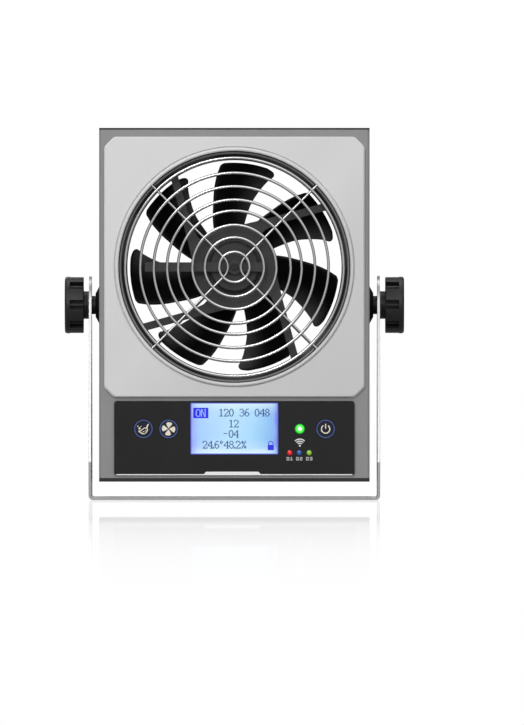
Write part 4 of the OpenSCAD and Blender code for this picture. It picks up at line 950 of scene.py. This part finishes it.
wn.links.new(cr.outputs["Color"], ml.inputs[6])
wn.links.new(cz.outputs["Color"], ml.inputs[7])
# A broad soft panel overhead, reaching forward but not behind
over = wn.nodes.new("ShaderNodeMapRange")
over.inputs["From Min"].default_value = 0.42
over.inputs["From Max"].default_value = 0.72
over.inputs["To Max"].default_value = 0.75
wn.links.new(sp.outputs["Z"], over.inputs["Value"])
reach = wn.nodes.new("ShaderNodeMapRange")
reach.inputs["From Min"].default_value = 0.45
reach.inputs["From Max"].default_value = 0.2
wn.links.new(sp.outputs["Y"], reach.inputs["Value"])
mo = wn.nodes.new("ShaderNodeMath")
mo.operation = "MULTIPLY"
wn.links.new(over.outputs[0], mo.inputs[0])
wn.links.new(reach.outputs[0], mo.inputs[1])
mp = wn.nodes.new("ShaderNodeMix")
mp.data_type = "RGBA"
mp.blend_type = "ADD"
mp.inputs["Factor"].default_value = 1.0
wn.links.new(ml.outputs[2], mp.inputs[6])
wn.links.new(mo.outputs[0], mp.inputs[7])
bgl = wn.nodes.new("ShaderNodeBackground")
wn.links.new(mp.outputs[2], bgl.inputs["Color"])
bgl.inputs["Strength"].default_value = 1.0
bgc = wn.nodes.new("ShaderNodeBackground")
bgc.inputs["Color"].default_value = (1, 1, 1, 1)
bgc.inputs["Strength"].default_value = 1.02
lp = wn.nodes.new("ShaderNodeLightPath")
wm = wn.nodes.new("ShaderNodeMixShader")
wn.links.new(lp.outputs["Is Camera Ray"], wm.inputs[0])
wn.links.new(bgl.outputs[0], wm.inputs[1])
wn.links.new(bgc.outputs[0], wm.inputs[2])
wn.links.new(wm.outputs[0], wo.inputs[0])


def area(name, loc, aim, size, power):
    L = bpy.data.lights.new(name, "AREA")
    L.shape = "RECTANGLE"
    L.size, L.size_y = size
    L.energy = power
    o = bpy.data.objects.new(name, L)
    o.location = loc
    d = Vector(aim) - Vector(loc)
    o.rotation_euler = d.to_track_quat("-Z", "Y").to_euler()
    o.visible_camera = False
    SC.collection.objects.link(o)
    return o


area("key", (-1.3, -2.3, 1.9), (0, 0, 0.11), (1.2, 1.2), 16)
area("fill", (1.9, -2.4, 0.7), (0, 0, 0.10), (0.9, 1.6), 1.2)
area("axis", (-0.35, -3.7, 1.15), (0, 0, 0.12), (0.5, 0.5), 12)
area("front", (-0.2, -3.0, 1.6), (0, 0, 0.11), (1.8, 1.0), 7)
area("top", (0.2, 0.5, 2.3), (0, 0, 0.1), (1.4, 1.0), 13)
area("back", (-0.6, 2.4, 1.3), (0, 0, 0.12), (1.4, 1.0), 7)

DIST, TALL = 10.0, 0.402
cam = bpy.data.cameras.new("camera")
cam.sensor_fit = "VERTICAL"
cam.sensor_height = 36.0
cam.lens = 36.0 * DIST / TALL
cam.clip_start, cam.clip_end = 0.05, 120
co = bpy.data.objects.new("camera", cam)
co.location = (0.01533, -(0.040 + DIST), 0.0762)
co.rotation_euler = (math.radians(90), 0, 0)
SC.collection.objects.link(co)
SC.camera = co
SC.view_settings.view_transform = "Standard"
SC.view_settings.look = "None"
SC.view_settings.exposure = 0.0
SC.view_settings.gamma = 1.0
